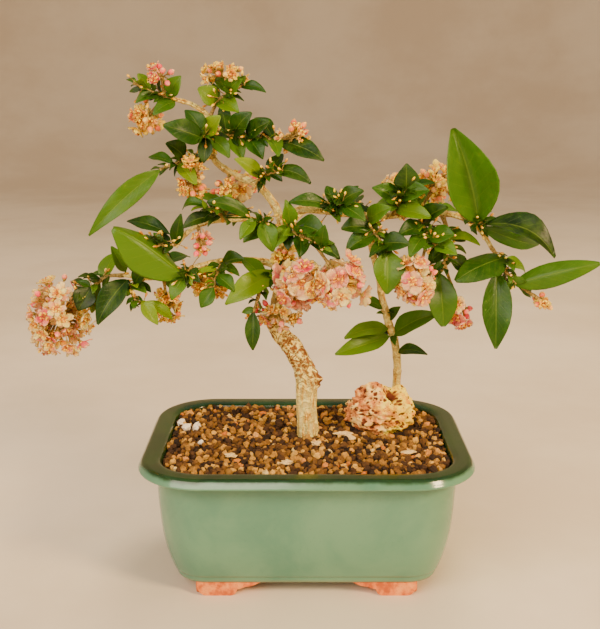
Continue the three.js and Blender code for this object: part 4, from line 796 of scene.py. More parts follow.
TRUNK = [
    [0, 70, 6], [1, 84, 6], [0, 100, 6], [0, 115, 6], [-1, 125, 6], [-5, 135, 6],
    [-10, 143, 6], [-15, 149, 6], [-19, 156, 6], [-19, 165, 6], [-17, 176, 5], [-15, 190, 4],
    [-14, 205, 3], [-14, 218, 2], [-14.5, 226, 2],
]
LIMBS = [
    {
        "route": [[-14, 216, 2], [-20, 232, 4], [-30, 243, 6], [-45, 250, 8], [-55, 258, 10],
                  [-57, 272, 12], [-58, 283, 12], [-67, 290, 10], [-80, 294, 6]],
        "radii": [2.7, 2.4, 2.2, 2.0, 1.8, 1.4, 1.1],
    },
    {
        "route": [[-14, 218, 2], [-7, 227, 0], [6, 228, -4], [22, 226, -8], [40, 224, -8],
                  [60, 225, -4], [82, 226, 0], [97, 222, 0], [107, 214, -2], [114, 203, -4]],
        "radii": [2.7, 2.4, 2.2, 2.0, 1.9, 1.7, 1.5, 1.2],
    },
    {
        "route": [[-14, 208, 3], [-24, 217, 0], [-34, 222, -4], [-50, 222, -8], [-62, 220, -10],
                  [-73, 214, -12], [-80, 205, -14]],
        "radii": [2.5, 2.1, 1.9, 1.7, 1.4, 1.2],
    },
    {
        "route": [[-15, 188, 4], [-22, 195, 3], [-38, 197, 0], [-55, 196, -4], [-70, 192, -6],
                  [-86, 187, -6], [-100, 186, -4], [-114, 188, -3]],
        "radii": [2.4, 2.0, 1.8, 1.6, 1.4, 1.1],
    },
    {
        "route": [[-14, 212, 3], [-8, 221, 15], [0, 228, 28], [8, 231, 39]],
        "radii": [2.3, 1.8, 1.4, 1.1],
    },
]
TRUNK_RADII = [7.6, 7.0, 6.5, 6.4, 6.5, 6.3, 5.9, 5.1, 4.2, 3.6, 3.3, 3.1, 3.0, 2.8, 2.2]

# Knobs on the bend, each with its place in the plan, its height and its width
KNOBS = [[[6.8, 121, 5.6], 4.4, 2.0], [[6.8, 117.2, 4.8], 3.2, 1.3], [[6.6, 125.4, 4.6], 3.6, 1.4],
         [[5.4, 122.6, 1.6], 2.6, 1.3], [[5.8, 118.4, 1.4], 2.2, 1.1], [[6.2, 129, 4.6], 2.4, 1.3],
         [[-8, 134, 1], 1.6, 1.5], [[-16, 145, 1], 1.8, 1.6], [[-23, 157, 6], 1.5, 1.4],
         [[-3, 144, 4], 1.8, 1.4], [[-10, 150, 5], 1.4, 1.3], [[-14, 166, 1], 1.3, 1.3]]
FLAKES = 520
BEND_RUN = 78
BEND_SPAN = 36
BURIED_RUN = 12
TRUNK_SIDES = 84
TRUNK_STEPS = 300
LIMB_SIDES = 18
LIMB_STEPS = 14


def sighted(plan):
    """The plan's points are [x, z, y]: x and z as seen from the front on the upright plane through
    the pot's middle. The depth y then moves a point along the line of sight."""
    x, z, y = np.moveaxis(np.asarray(plan, float), -1, 0)
    reach = 1 + y / -EYE[1]
    return np.stack([EYE[0] + (x - EYE[0]) * reach, y, EYE[2] + (z - EYE[2]) * reach], axis=-1)


def unit(vectors):
    """Each vector, made one long."""
    return vectors / np.linalg.norm(vectors, axis=-1, keepdims=True)


def squared(vectors, ways):
    """What is left of each vector square to its way, made one long."""
    return unit(vectors - ways * (vectors * ways).sum(-1, keepdims=True))


def spokes(across, other, angles):
    """Directions at angles round a middle, from the first of two that are square towards the
    second."""
    return (across[..., None, :] * np.cos(angles)[..., None]
            + other[..., None, :] * np.sin(angles)[..., None])


def frames_along(centres):
    """The way that a curve runs at each of its points, with two directions square to it that are
    carried along without a twist."""
    ways = unit(np.gradient(centres, axis=0))
    across = np.empty_like(ways)
    carried = np.cross([0, 1, 0], ways[0])
    for index, way in enumerate(ways):
        carried = carried - way * (carried @ way)
        carried = carried / np.linalg.norm(carried)
        across[index] = carried
    return ways, across, np.cross(ways, across)


def wood(points, radii, sides, steps, relief):
    """A limb's skin: rings square to a smooth curve, whose radius runs straight between the radii
    given, plus the relief. Its grain mark is the limb drawn out straight, in millimetres."""
    centres = curve_through(points, steps)
    _, across, other = frames_along(centres)
    along = np.linspace(0, 1, steps + 1)
    radius = np.interp(along, np.linspace(0, 1, len(radii)), radii)[:, None]
    around = turns(sides)
    run = np.linalg.norm(np.diff(centres, axis=0), axis=1).sum() * along[:, None]
    spoke = spokes(across, other, around)
    skin = centres[:, None] + spoke * radius[..., None]
    raised, flaky = relief(around, run, radius, skin)
    skin = skin + spoke * raised[..., None]
    grain = np.stack([radius * np.cos(around), radius * np.sin(around),
                      np.broadcast_to(run, (steps + 1, sides))], axis=-1)
    return closed_skins(skin[None], grain=grain[None],
                        flaky=np.broadcast_to(flaky, grain.shape[:2])[None])


def trunk_relief(around, run, radius, skin):
    """Ridges that wind slowly up the trunk, a flare at its foot, the knobs, and loose flakes of
    bark that thicken over the bend. The second value says how much the bark flakes, raised just
    above the grit by painted shade at the trunk's foot."""
    wind = around + 0.25 * np.sin(run / 23)
    ridges = (0.34 * np.sin(5 * wind + 0.6 * np.sin(run / 9)) + 0.22 * np.sin(9 * wind + run / 14)
              + 0.16 * np.sin(15 * wind - run / 11 + np.sin(run / 5)))
    flare = 1.5 * np.exp(-run / 7) * (0.7 + 0.5 * np.sin(4 * around + 1))
    total = ridges * radius / 7 + flare
    bend = np.exp(-((run - BEND_RUN) / BEND_SPAN) ** 2)
    knobby = np.zeros_like(total)
    for centre, height, width in KNOBS:
        away = np.linalg.norm(skin - sighted(centre), axis=-1)
        knobby = np.maximum(knobby, height * np.exp(-(away / width / 1.6) ** 2))
    draw = np.random.default_rng(3)
    spot_around, spot_run = draw.uniform(0, 2 * math.pi, FLAKES), draw.normal(BEND_RUN, 44, FLAKES)
    wide, tall = draw.uniform(0.7, 2.0, FLAKES), draw.uniform(0.9, 3.0, FLAKES)
    near_bend = np.exp(-((spot_run - BEND_RUN) / BEND_SPAN) ** 2)
    high = draw.uniform(0.12, 0.62, FLAKES) * (0.35 + near_bend)
    turn = (around[:, None] - spot_around + math.pi) % (2 * math.pi) - math.pi
    for row in range(len(run)):
        plate = (turn * radius[row] / wide) ** 2 + ((run[row] - spot_run) / tall) ** 2
        total[row] += (high * np.exp(-plate ** 2)).max(axis=1)
    # Painted shade: the bark turns browner for a few millimetres above the grit.
    painted_foot_shade = 0.6 * np.exp(-np.maximum(run - BURIED_RUN, 0) / 8)
    return total + knobby, np.clip(bend + 0.3 * knobby + painted_foot_shade, 0, 1)


def limb_relief(around, run, radius, skin):
    """A swelling at each old leaf joint, about 13 mm apart, and a fine wander."""
    joints = 0.3 * np.exp(-(((run + 4) % 13 - 6.5) / 1.3) ** 2)
    wander = 0.13 * np.sin(3 * around + run / 4) + 0.08 * np.sin(7 * around - run / 3)
    return joints + wander, 0.3 + joints


bark, tree, shader = finish("flaking_bark", Roughness=0.86)
place = marked(tree, "grain", "Vector")
stretched = add_node(
    tree, "ShaderNodeMapping", {"Vector": place, "Scale": (0.5, 0.5, 0.07)}).outputs[0]
streak = clouds(tree, stretched, 1.3, Detail=5.0, Twist=0.4, Low=0.26, High=0.62)
pale = ramp(tree, streak, [
    (0, 140, 78, 20), (0.3, 250, 186, 78), (0.6, 255, 230, 116),
    (1, 255, 246, 160)])
brown = mix(tree, streak, colour(56, 26, 8), colour(156, 96, 38))
flake = clouds(tree, place, 0.34, Detail=5.0, Twist=1.2, Low=0.43, High=0.56)
# Where the mark rises just above the grit, the extra brown is painted shade.
flaky = spread(tree, marked(tree, "flaky"), 0.1, 0.9, 0.25, 1.0)
feed(tree, shader,
     Base_Color=mix(tree, number(tree, "MULTIPLY", flake, flaky), pale, brown),
     Normal=bumps(tree, stretched, 2.6, Detail=6.0, Hollows=flake, Depth=0.0011,
                  Strength=0.75))

skins = [(wood(sighted(TRUNK), TRUNK_RADII, TRUNK_SIDES, TRUNK_STEPS, trunk_relief), 0)]
for limb in LIMBS:
    steps = LIMB_STEPS * len(limb["route"])
    skins.append((wood(sighted(limb["route"]), limb["radii"], LIMB_SIDES, steps, limb_relief), 0))
trunk = add_skins("trunk_and_limbs", skins, [bark])
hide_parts("trunk")

# The leaves: each leafy shoot grows out of a limb, a thin green-brown stem with glossy oval leaves
# on short stalks, darker above than below, folded a little along the midrib and curling to the tip.

# A row is a leaf's base and tip, its width, its roll in degrees and its arch, and where they are
# set its tone, from 0 dark to 1 bright, and its fold. A shoot's fill is how many more leaves it
# has, and how long they are.
SPRAYS = {
    "left_tip_spray": {
        "route": [[-112, 187.5, -3], [-122, 187, -5], [-130, 182, -7], [-137, 176, -8],
                  [-142, 171, -9]],
        "radii": [1.2, 0.9], "fill": [2, 20],
        "leaves": [
            [[-133, 180, -10], [-142, 165, -16], 14, 10, 0.05, 0.08],
            [[-127, 184, -4], [-134, 163, 2], 8, 30, 0.05, 0.8],
            [[-126, 185, -5], [-117, 202, 6], 11, 30, 0.05, 0.8],
            [[-111, 190, -3], [-119, 206, -10], 9, 20, 0.05, 0.75],
            [[-134, 180, -6], [-145, 186, 8], 7, 40, 0.05]]},
    "left_low_spray": {
        "route": [[-98, 186, -5], [-103, 184, -9], [-108, 180, -14], [-106, 173, -18],
                  [-101, 169, -20]],
        "radii": [1.1, 0.8], "fill": [2, 18],
        "leaves": [
            [[-110, 185, -14], [-131, 156, -26], 15, 15, 0.06, 0.2],
            [[-102, 172, -20], [-92, 156, -24], 9, 10, 0.05, 0.9],
            [[-100, 171, -19], [-82, 160, -12], 9, 40, 0.05, 0.85],
            [[-106, 182, -14], [-97, 196, -24], 10, 30, 0.05]]},
    "left_big_leaf_spray": {
        "route": [[-70, 193, -6], [-73, 190, -14], [-75, 187, -20]],
        "radii": [1.3, 1], "fill": [0, 20],
        "leaves": [
            [[-74, 186, -20], [-117, 219, -36], 26, 32, 0.03, 0.72, -0.85],
            [[-74, 188, -18], [-84, 172, -26], 10, 20, 0.05]]},
    "left_limb_spray": {
        "route": [[-78, 208, -13], [-84, 206, -16], [-90, 207, -16], [-96, 209, -14]],
        "radii": [1.2, 0.8], "fill": [3, 22],
        "leaves": [
            [[-83, 213, -12], [-110, 222, -4], 11, 35, 0.06],
            [[-80, 207, -15], [-76, 226, -22], 8, 10, 0.05],
            [[-92, 208, -12], [-108, 206, 10], 11, 50, 0.05]]},
    "left_limb_inner_spray": {
        "route": [[-48, 222, -8], [-52, 225, -16], [-56, 228, -22], [-62, 230, -26]],
        "radii": [1.2, 0.8], "fill": [0, 20],
        "leaves": [
            [[-34, 223, -18], [-61, 233, -26], 10, 25, 0.1],
            [[-56, 224, -22], [-76, 217, -30], 9, 30, 0.1],
            [[-60, 230, -26], [-76, 229, -20], 7, 40, 0.2],
            [[-50, 226, -14], [-46, 238, -8], 9, 30, 0.05]]},
    "centre_left_spray": {
        "route": [[-22, 217, 0], [-24, 218, -8], [-26, 220, -15], [-30, 221, -20]],
        "radii": [1.2, 0.8], "fill": [0, 20],
        "leaves": [
            [[-27, 221, -18], [-20, 202, -24], 12, 15, 0.06],
            [[-25, 219, -14], [-39, 208, -20], 11, 30, 0.06],
            [[-31, 222, -20], [-41, 210, -28], 9, 30, 0.06]]},
    "lower_left_spray": {
        "route": [[-50, 196.5, -3], [-53, 193, -10], [-56, 187, -16], [-57, 180, -20]],
        "radii": [1.2, 0.8], "fill": [2, 18],
        "leaves": [
            [[-57, 180, -20], [-66, 167, -24], 10, 15, 0.05],
            [[-55, 188, -15], [-44, 178, -22], 10, 30, 0.05],
            [[-53, 194, -9], [-38, 198, -20], 10, 40, 0.05]]},
    "trunk_left_spray": {
        "route": [[-16, 191, 3], [-20, 189, -5], [-24, 184, -11], [-29, 176, -14],
                  [-33, 164, -15]],
        "radii": [1.3, 0.8], "fill": [0, 18],
        "leaves": [
            [[-19, 190, -6], [-51, 170, -24], 15, 20, 0.08],
            [[-33, 165, -15], [-34, 139, -20], 10, 12, 0.05],
            [[-25, 184, -12], [-40, 200, -2], 12, 40, 0.06],
            [[-22, 187, -8], [-8, 197, -18], 11, 35, 0.06]]},
    "upper_left_spray": {
        "route": [[-55, 260, 9], [-66, 259, 3], [-77, 256, -3], [-88, 252, -8]],
        "radii": [1.3, 0.8], "fill": [3, 24],
        "leaves": [
            [[-88, 252, -8], [-134, 211, -24], 13.5, 4, 0.05, 0.66, 0.3],
            [[-73, 259, -2], [-84, 268, -14], 12, 30, 0.06],
            [[-80, 256, -5], [-95, 260, 4], 8, 45, 0.05],
            [[-76, 256, -3], [-66, 243, -12], 10, 25, 0.05]]},
    "apex_left_spray": {
        "route": [[-76, 293, 7], [-84, 295, 6], [-92, 298, 3], [-102, 303, 0]],
        "radii": [1.1, 0.7], "fill": [2, 16],
        "leaves": [
            [[-87, 296, 5], [-101, 292, -4], 8, 30, 0.06],
            [[-78, 292, 6], [-91, 285, -6], 9, 25, 0.06],
            [[-80, 295, 5], [-74, 307, 0], 11, 20, 0.05],
            [[-92, 298, 3], [-99, 309, 8], 7, 30, 0.05]]},
    "apex_top_spray": {
        "route": [[-58, 281, 12], [-54, 290, 12], [-48, 296, 10], [-41, 300, 8], [-36, 302, 7]],
        "radii": [1.2, 0.7], "fill": [2, 20],
        "leaves": [
            [[-53, 291, 11], [-64, 300, 4], 12, 20, 0.06],
            [[-47, 296, 9], [-38, 306, 2], 10, 20, 0.06],
            [[-38, 301, 7], [-24, 298, 0], 7, 30, 0.06],
            [[-52, 292, 11], [-40, 286, 0], 12, 30, 0.06],
            [[-47, 297, 10], [-54, 306, 20], 10, 30, 0.06]]},
    "apex_front_spray": {
        "route": [[-57, 268, 11], [-58, 271, 2], [-60, 272, -8], [-62, 272, -14]],
        "radii": [1.2, 0.8], "fill": [0, 20],
        "leaves": [
            [[-62, 271, -14], [-85, 279, -26], 15, 22, 0.07, 0.3],
            [[-60, 271, -8], [-62, 256, -14], 9, 12, 0.05],
            [[-58, 271, -2], [-46, 259, -8], 10, 20, 0.05],
            [[-60, 273, -8], [-51, 284, -16], 11, 30, 0.06],
            [[-62, 273, -14], [-72, 288, -12], 11, 20, 0.06]]},
    "apex_right_spray": {
        "route": [[-57, 270, 12], [-48, 272, 9], [-38, 273, 5], [-28, 271, 0], [-18, 269, -4]],
        "radii": [1.4, 1.1, 0.8], "fill": [3, 22],
        "leaves": [
            [[-44, 272, 7], [-33, 286, -2], 13, 25, 0.06],
            [[-36, 273, 4], [-22, 281, -8], 12, 30, 0.06],
            [[-48, 273, 9], [-50, 287, 20], 12, 30, 0.06],
            [[-34, 271, 2], [-26, 259, -8], 12, 20, 0.06],
            [[-20, 271, -3], [-31, 284, 10], 10, 30, 0.06],
            [[-17, 269, -4], [11, 258, -16], 13, 28, 0.1, 0.2],
            [[-44, 271, 6], [-38, 258, -4], 11, 20, 0.06]]},
    "middle_upper_spray": {
        "route": [[-30, 243, 6], [-27, 247, -2], [-22, 250, -8], [-14, 251, -12]],
        "radii": [1.2, 0.8], "fill": [1, 18],
        "leaves": [
            [[-27, 247, -3], [-43, 259, -12], 10, 25, 0.06],
            [[-21, 251, -8], [3, 244, -18], 10, 30, 0.12, 0.2],
            [[-24, 249, -5], [-14, 262, 4], 9, 30, 0.05]]},
    "centre_front_spray": {
        "route": [[-14, 214, 2], [-11, 215, -12], [-5, 213, -22], [3, 209, -30], [11, 205, -36]],
        "radii": [1.5, 1.1, 0.8], "fill": [2, 20],
        "leaves": [
            [[-12, 219, -14], [-20, 205, -24], 9, 15, 0.05],
            [[-8, 218, -18], [13, 211, -34], 14, 25, 0.08],
            [[9, 205, -35], [11, 219, -44], 9, 10, 0.05],
            [[2, 209, -30], [21, 198, -38], 10, 30, 0.06],
            [[-5, 212, -24], [-4, 199, -32], 10, 25, 0.06],
            [[-10, 216, -14], [-12, 234, -20], 10, 25, 0.06]]},
    "right_limb_inner_spray": {
        "route": [[14, 227, -6], [17, 230, -12], [22, 232, -18]],
        "radii": [1.2, 0.8], "fill": [0, 20],
        "leaves": [
            [[15, 229, -11], [-11, 233, -20], 10, 30, 0.08],
            [[20, 232, -16], [34, 240, -24], 12, 30, 0.06],
            [[22, 231, -18], [36, 222, -28], 11, 30, 0.06],
            [[17, 231, -14], [12, 243, -8], 9, 30, 0.06]]},
    "right_low_spray": {
        "route": [[36, 225, -8], [39, 218, -16], [44, 210, -22], [50, 203, -26]],
        "radii": [1.4, 1.1, 0.8], "fill": [2, 20],
        "leaves": [
            [[50, 203, -26], [50, 175, -34], 19, 12, 0.06, 0.7],
            [[42, 213, -20], [24, 203, -26], 12, 25, 0.06],
            [[39, 217, -16], [21, 217, -22], 13, 30, 0.06],
            [[46, 207, -24], [63, 207, -34], 13, 25, 0.06],
            [[37, 222, -12], [50, 230, -26], 12, 30, 0.06]]},
    "right_mid_spray": {
        "route": [[52, 224.5, -6], [55, 230, -12], [58, 236, -15], [60, 241, -16]],
        "radii": [1.3, 0.8], "fill": [3, 22],
        "leaves": [
            [[60, 240, -16], [60, 256, -20], 15, 10, 0.05, 0.22],
            [[56, 233, -14], [40, 242, -22], 13, 30, 0.06],
            [[57, 235, -15], [74, 240, -24], 13, 30, 0.06],
            [[55, 230, -12], [42, 233, 4], 12, 40, 0.06],
            [[54, 228, -12], [76, 223, -28], 11, 30, 0.08]]},
    "right_fore_spray": {
        "route": [[68, 225, -3], [70, 219, -14], [74, 212, -22], [79, 205, -27]],
        "radii": [1.4, 0.8], "fill": [0, 20],
        "leaves": [
            [[71, 217, -17], [56, 213, -30], 12, 30, 0.06],
            [[74, 212, -22], [90, 213, -34], 13, 30, 0.06],
            [[73, 214, -20], [63, 200, -34], 11, 20, 0.06],
            [[70, 221, -12], [85, 230, -26], 12, 30, 0.06],
            [[78, 206, -26], [92, 201, -36], 11, 30, 0.06]]},
    "hanging_right_spray": {
        "route": [[82, 225.5, 0], [86, 214, -4], [86, 202, -8], [83, 190, -12]],
        "radii": [1.4, 1.1, 0.8], "fill": [2, 22],
        "leaves": [
            [[82, 189, -12], [86, 154, -20], 18, 12, 0.07, 0.6],
            [[86, 200, -8], [99, 190, -4], 11, 30, 0.06],
            [[86, 205, -7], [74, 194, -8], 11, 25, 0.06],
            [[83, 191, -12], [73, 178, -8], 10, 30, 0.06]]},
    "far_right_spray": {
        "route": [[95, 222.5, 0], [102, 221, -7], [108, 219, -12]],
        "radii": [1.5, 1.1], "fill": [0, 20],
        "leaves": [
            [[104, 220, -10], [86, 278, -18], 30, 4, 0.03, 0.62, 1.0],
            [[106, 220, -9], [108, 239, -2], 8, 20, 0.05],
            [[108, 219, -12], [154, 200, -30], 18, 42, 0.17, 0.06],
            [[106, 218, -10], [143, 206, 8], 11, -20, 0.1]]},
    "right_tip_spray": {
        "route": [[112, 206, -4], [118, 198, -6], [123, 189, -8], [129, 182, -10]],
        "radii": [1.2, 0.8], "fill": [2, 22],
        "leaves": [
            [[122, 199, -10], [91, 185, -30], 20, 32, 0.08, 0.36, -0.25],
            [[128, 182, -10], [181, 196, -25], 15, 8, 0.04, 0.62, -0.4],
            [[119, 196, -6], [136, 190, 8], 10, 45, 0.06],
            [[117, 190, -12], [119, 139, -22], 18, 10, 0.05, 0.4, 0.5],
            [[126, 185, -8], [140, 174, 2], 10, 40, 0.06]]},
    "back_centre_spray": {
        "route": [[5, 230, 34], [13, 232, 43], [24, 231, 48], [36, 229, 49]],
        "radii": [1.3, 0.8], "fill": [6, 24]},
    "back_left_spray": {
        "route": [[-38, 222, -5], [-41, 226, 7], [-44, 228, 20], [-48, 229, 32], [-53, 228, 41]],
        "radii": [1.4, 1.1, 0.8], "fill": [6, 24]},
    "back_right_spray": {
        "route": [[60, 225, -4], [63, 229, 10], [66, 231, 24], [71, 230, 36], [76, 227, 44]],
        "radii": [1.4, 1.1, 0.8], "fill": [7, 24]},
    "back_apex_spray": {
        "route": [[-57, 270, 12], [-54, 274, 24], [-50, 276, 36], [-46, 276, 46]],
        "radii": [1.3, 0.8], "fill": [6, 22]},
    "back_low_spray": {
        "route": [[-80, 189, -6], [-84, 193, 8], [-88, 194, 22], [-90, 192, 34]],
        "radii": [1.3, 0.8], "fill": [5, 24]},
}
LEAF_MARKS = np.array([0.35, 0.65, 0.95])
CLEAR_OF_OTHERS = 7
CLEAR_OF_OWN = 5
GOLDEN_ANGLE = math.pi * (3 - math.sqrt(5))
STALK_RADIUS = 0.62
ARCH = 0.07
BLADE_STATIONS = np.array([
    0.015, 0.06, 0.13, 0.22, 0.32, 0.43, 0.54, 0.65, 0.75, 0.84, 0.92, 0.97])
TOP_COLUMNS = np.array([1, 0.93, 0.62, 0.3, 0, -0.3, -0.62, -0.93, -1])
UNDER_COLUMNS = np.array([-0.93, -0.5, 0, 0.5, 0.93])


def seeded(seed):
    """The plan's own small draw: each number is the last one times 16807, kept in 31 bits."""
    state = seed * 7919 + 17
    while True:
        state = state * 16807 % 2147483647
        yield state / 2147483647


def square_to(axis):
    """Two directions square to an axis and to each other."""
    spare = np.where(np.abs(axis[..., 2:]) > 0.9, [1.0, 0, 0], [0, 0, 1.0])
    across = unit(np.cross(spare, axis))
    return across, np.cross(axis, across)


def nearest_on(route, spots):
    """The point of a route's straight stretches that is nearest to each spot."""
    start, stretch = route[:-1], np.diff(route, axis=0)
    share = ((spots[:, None] - start) * stretch).sum(-1) / (stretch ** 2).sum(-1)
    near = start + stretch * np.clip(share, 0, 1)[..., None]
    best = np.linalg.norm(near - spots[:, None], axis=-1).argmin(axis=1)
    return near[np.arange(len(spots)), best]


def point_on(route, t):
    """The point at a share of a route's stretches, each counted alike."""
    place = min(t, 0.9999) * (len(route) - 1)
    index = int(place)
    return route[index] + (route[index + 1] - route[index]) * (place - index)


def planned_leaves(rows):
    """Leaves placed one by one. Each face looks at the eye, square to the leaf's way, and then
    rolls about the midrib, towards the sky where the roll is positive."""
    base, tip = sighted([row[0] for row in rows]), sighted([row[1] for row in rows])
    width, roll, arch = (np.array([row[k] for row in rows], float) for k in (2, 3, 4))
    way = unit(tip - base)
    face = squared(unit(EYE - base), way)
    side = np.cross(way, face)
    side = np.where(side[:, 2:] < 0, -side, side)
    angle = np.radians(roll)[:, None]
    tone, fold = (np.array([row[k] if len(row) > k else np.nan for row in rows]) for k in (5, 6))
    return {"base": base, "tip": tip, "width": width, "arch": arch, "tone": tone, "fold": fold,
            "face": face * np.cos(angle) + side * np.sin(angle)}


def merged(*sets):
    """Several sets of leaves as one."""
    return {key: np.concatenate([one[key] for one in sets]) for key in sets[0]}


def marks_of(leaves):
    """Three spots along each leaf, which later leaves and flowers keep clear of."""
    return (leaves["base"][:, None] + (leaves["tip"] - leaves["base"])[:, None]
            * LEAF_MARKS[:, None]).reshape(-1, 3)


taken_spots, taken_by = [], []


def take(spots, owner):
    """Notes the spots that a shoot or bunch now holds."""
    taken_spots.extend(spots)
    taken_by.extend([owner] * len(spots))


def is_free(spots, owner, from_others, from_own):
    """True where every spot is far enough from all that are taken."""
    away = np.linalg.norm(np.array(taken_spots)[:, None] - spots, axis=-1)
    reach = np.where(np.array(taken_by) == owner, from_own, from_others)
    return bool((away > reach[:, None]).all())


def as_leaves(rows):
    """Leaves from rows of base, tip and length, faces to the sky."""
    count = len(rows)
    length = np.array([row[2] for row in rows], float)
    return {"base": np.array([row[0] for row in rows]).reshape(count, 3),
            "tip": np.array([row[1] for row in rows]).reshape(count, 3), "width": length * 0.47,
            "arch": np.full(count, ARCH), "tone": np.full(count, np.nan),
            "fold": np.full(count, np.nan),
            "face": np.tile([0, -0.45, 1.0], (count, 1))}


def filling_leaves(route, count, longest, owner, draw):
    """Leaves that wind up a stem by the golden angle, faces to the sky, but none where it would
    lie on a neighbour."""
    axis = unit(route[-1] - route[0])
    across, other = square_to(axis)
    turn = next(draw) * 2 * math.pi
    rows = []
    for index in range(count):
        angle = turn + index * GOLDEN_ANGLE
        length = longest * (0.68 + 0.32 * next(draw))
        base = point_on(route, 0.2 + 0.8 * (index + 0.6) / count)
        way = 0.55 * axis + across * math.cos(angle) + other * math.sin(angle)
        way[2] = way[2] * 0.6 + 0.25 - 0.3 * next(draw)
        rows.append([base, base + unit(way) * length, length])
        spots = base + (rows[-1][1] - base) * LEAF_MARKS[:, None]
        if is_free(spots, owner, CLEAR_OF_OTHERS, CLEAR_OF_OWN):
            take(spots, owner)
        else:
            rows.pop()
    return as_leaves(rows)


def young_leaves(route, count, longest, draw):
    """Small leaves in facing pairs, each pair turned from the last by a quarter, smaller and
    steeper to the shoot's tip."""
    axis = unit(route[-1] - route[0])
    across, other = square_to(axis)
    rows = []
    for index in range(count):
        t = 0.2 + 0.8 * (index // 2 + 0.5) / ((count + 1) // 2)
        angle = (index // 2) * math.pi / 2 + (index % 2) * math.pi + draw.normal(0, 0.5)
        length = longest * draw.uniform(0.5, 1.0) * (1.05 - 0.4 * t)
        way = (0.2 + 0.7 * t) * axis + across * math.cos(angle) + other * math.sin(angle)
        way[2] = way[2] * 0.6 - 0.1 + draw.normal(0, 0.22)
        base = point_on(route, t)
        rows.append([base, base + unit(way) * length, length])
    leaves = as_leaves(rows)
    leaves["face"] = leaves["face"] + draw.normal(0, 0.5, leaves["face"].shape)
    leaves["width"] = leaves["width"] * draw.uniform(0.8, 1.2, count)
    leaves["tone"] = draw.beta(1.4, 2.4, count)
    return leaves


def leaf_skins(leaves, heels, draw):
    """Thin closed blades. The half-width is a sine of pi t to a power, to a power; each half rises
    from the rib by the fold; the rib arches by 4t(1 - t), drops at the tip and bows to one side;
    the edges wave; and a round stalk runs into the base from the stem."""
    base, tip = leaves["base"], leaves["tip"]
    count = len(base)
    along = tip - base
    length = np.linalg.norm(along, axis=1)
    way = along / length[:, None]
    up = squared(leaves["face"], way)
    side = np.cross(up, way)
    c = np.concatenate([TOP_COLUMNS, UNDER_COLUMNS])
    under = np.concatenate([np.zeros(len(TOP_COLUMNS)), np.ones(len(UNDER_COLUMNS))])
    skin_side = np.where(under > 0, -1.0, 1.0) * (np.abs(c) < 0.99)
    t = BLADE_STATIONS[:, None]
    n = (slice(None), None, None)
    widest, blunt = draw.uniform(0.76, 0.98, count)[n], draw.uniform(0.74, 1.0, count)[n]
    half = np.sin(math.pi * t ** widest) ** blunt
    reach = leaves["width"][n] / 2 * half * draw.uniform(0.96, 1.04, count)[n]
    phase = draw.uniform(0, 6, count)[n] + np.where(c > 0, 1.9, 0)
    wave = draw.uniform(0.012, 0.036, count)[n] * length[n] * half * c ** 2 * np.sin(t * 9 + phase)
    droop = -draw.uniform(0.02, 0.12, count)[n] * length[n] * np.clip(t - 0.55, 0, 1) ** 2 / 0.2
    thick = 0.24 * (1 - 0.5 * np.abs(c)) * skin_side
    rib = np.exp(-(c / 0.16) ** 2) * (1 - 0.75 * t) * np.where(under > 0, -0.4, -0.16)
    lift = (leaves["arch"] * length)[n] * 4 * t * (1 - t) + droop
    fold = np.where(np.isnan(leaves["fold"]), draw.uniform(0.18, 0.5, count), leaves["fold"])
    lift = lift + fold[n] * reach * np.abs(c) ** 1.1 + wave + thick + rib
    bow = draw.normal(0, 0.035, count)[n] * length[n] * 4 * t * (1 - t)
    blade = (base[:, None, None] + along[:, None, None] * t[None, :, :, None]
             + side[:, None, None] * (c * reach + bow)[..., None]
             + up[:, None, None] * lift[..., None])
    stalk = base - heels
    far = np.linalg.norm(stalk, axis=1, keepdims=True)
    axis = np.where(far > 1, stalk / np.maximum(far, 1e-6), way)
    across = unit(side - axis * (side * axis).sum(-1, keepdims=True) + 1e-6)
    other = np.cross(axis, across)
    angle = np.where(under > 0, -math.pi / 2 + c * 0.9, math.pi / 2 * (1 - c))
    thickness = np.array([1.25, 0.85, 0.8])[:, None] * STALK_RADIUS
    spoke = spokes(across, other, angle)
    steps = np.array([0.0, 0.5, 0.97])[:, None, None]
    stem = (heels[:, None, None] + (base - heels)[:, None, None] * steps
            + spoke[:, None] * thickness[..., None])
    grid = np.concatenate([stem, blade], axis=1)
    v = np.concatenate([[-0.3, -0.2, -0.1], BLADE_STATIONS])
    blade_mark = np.stack(np.broadcast_arrays(c, v[:, None], under), axis=-1)
    tone = np.where(np.isnan(leaves["tone"]), draw.beta(1.7, 1.9, count), leaves["tone"])
    return closed_skins(grid, blade=np.broadcast_to(blade_mark, (count,) + blade_mark.shape),
                        tint=np.broadcast_to(tone[n], grid.shape[:3]))


# Veins: thin lines at every whole step of a row, as wide as the width given, in steps
veins, given, out = new_group(
    "veins", [("Row", "Float", 0.0), ("Width", "Float", 0.1)], [("Mask", "Float")])
off_line = number(veins, "PINGPONG", given["Row"], 0.5)
veins.links.new(spread(veins, off_line, 0.0, given["Width"], 1, 0), out["Mask"])

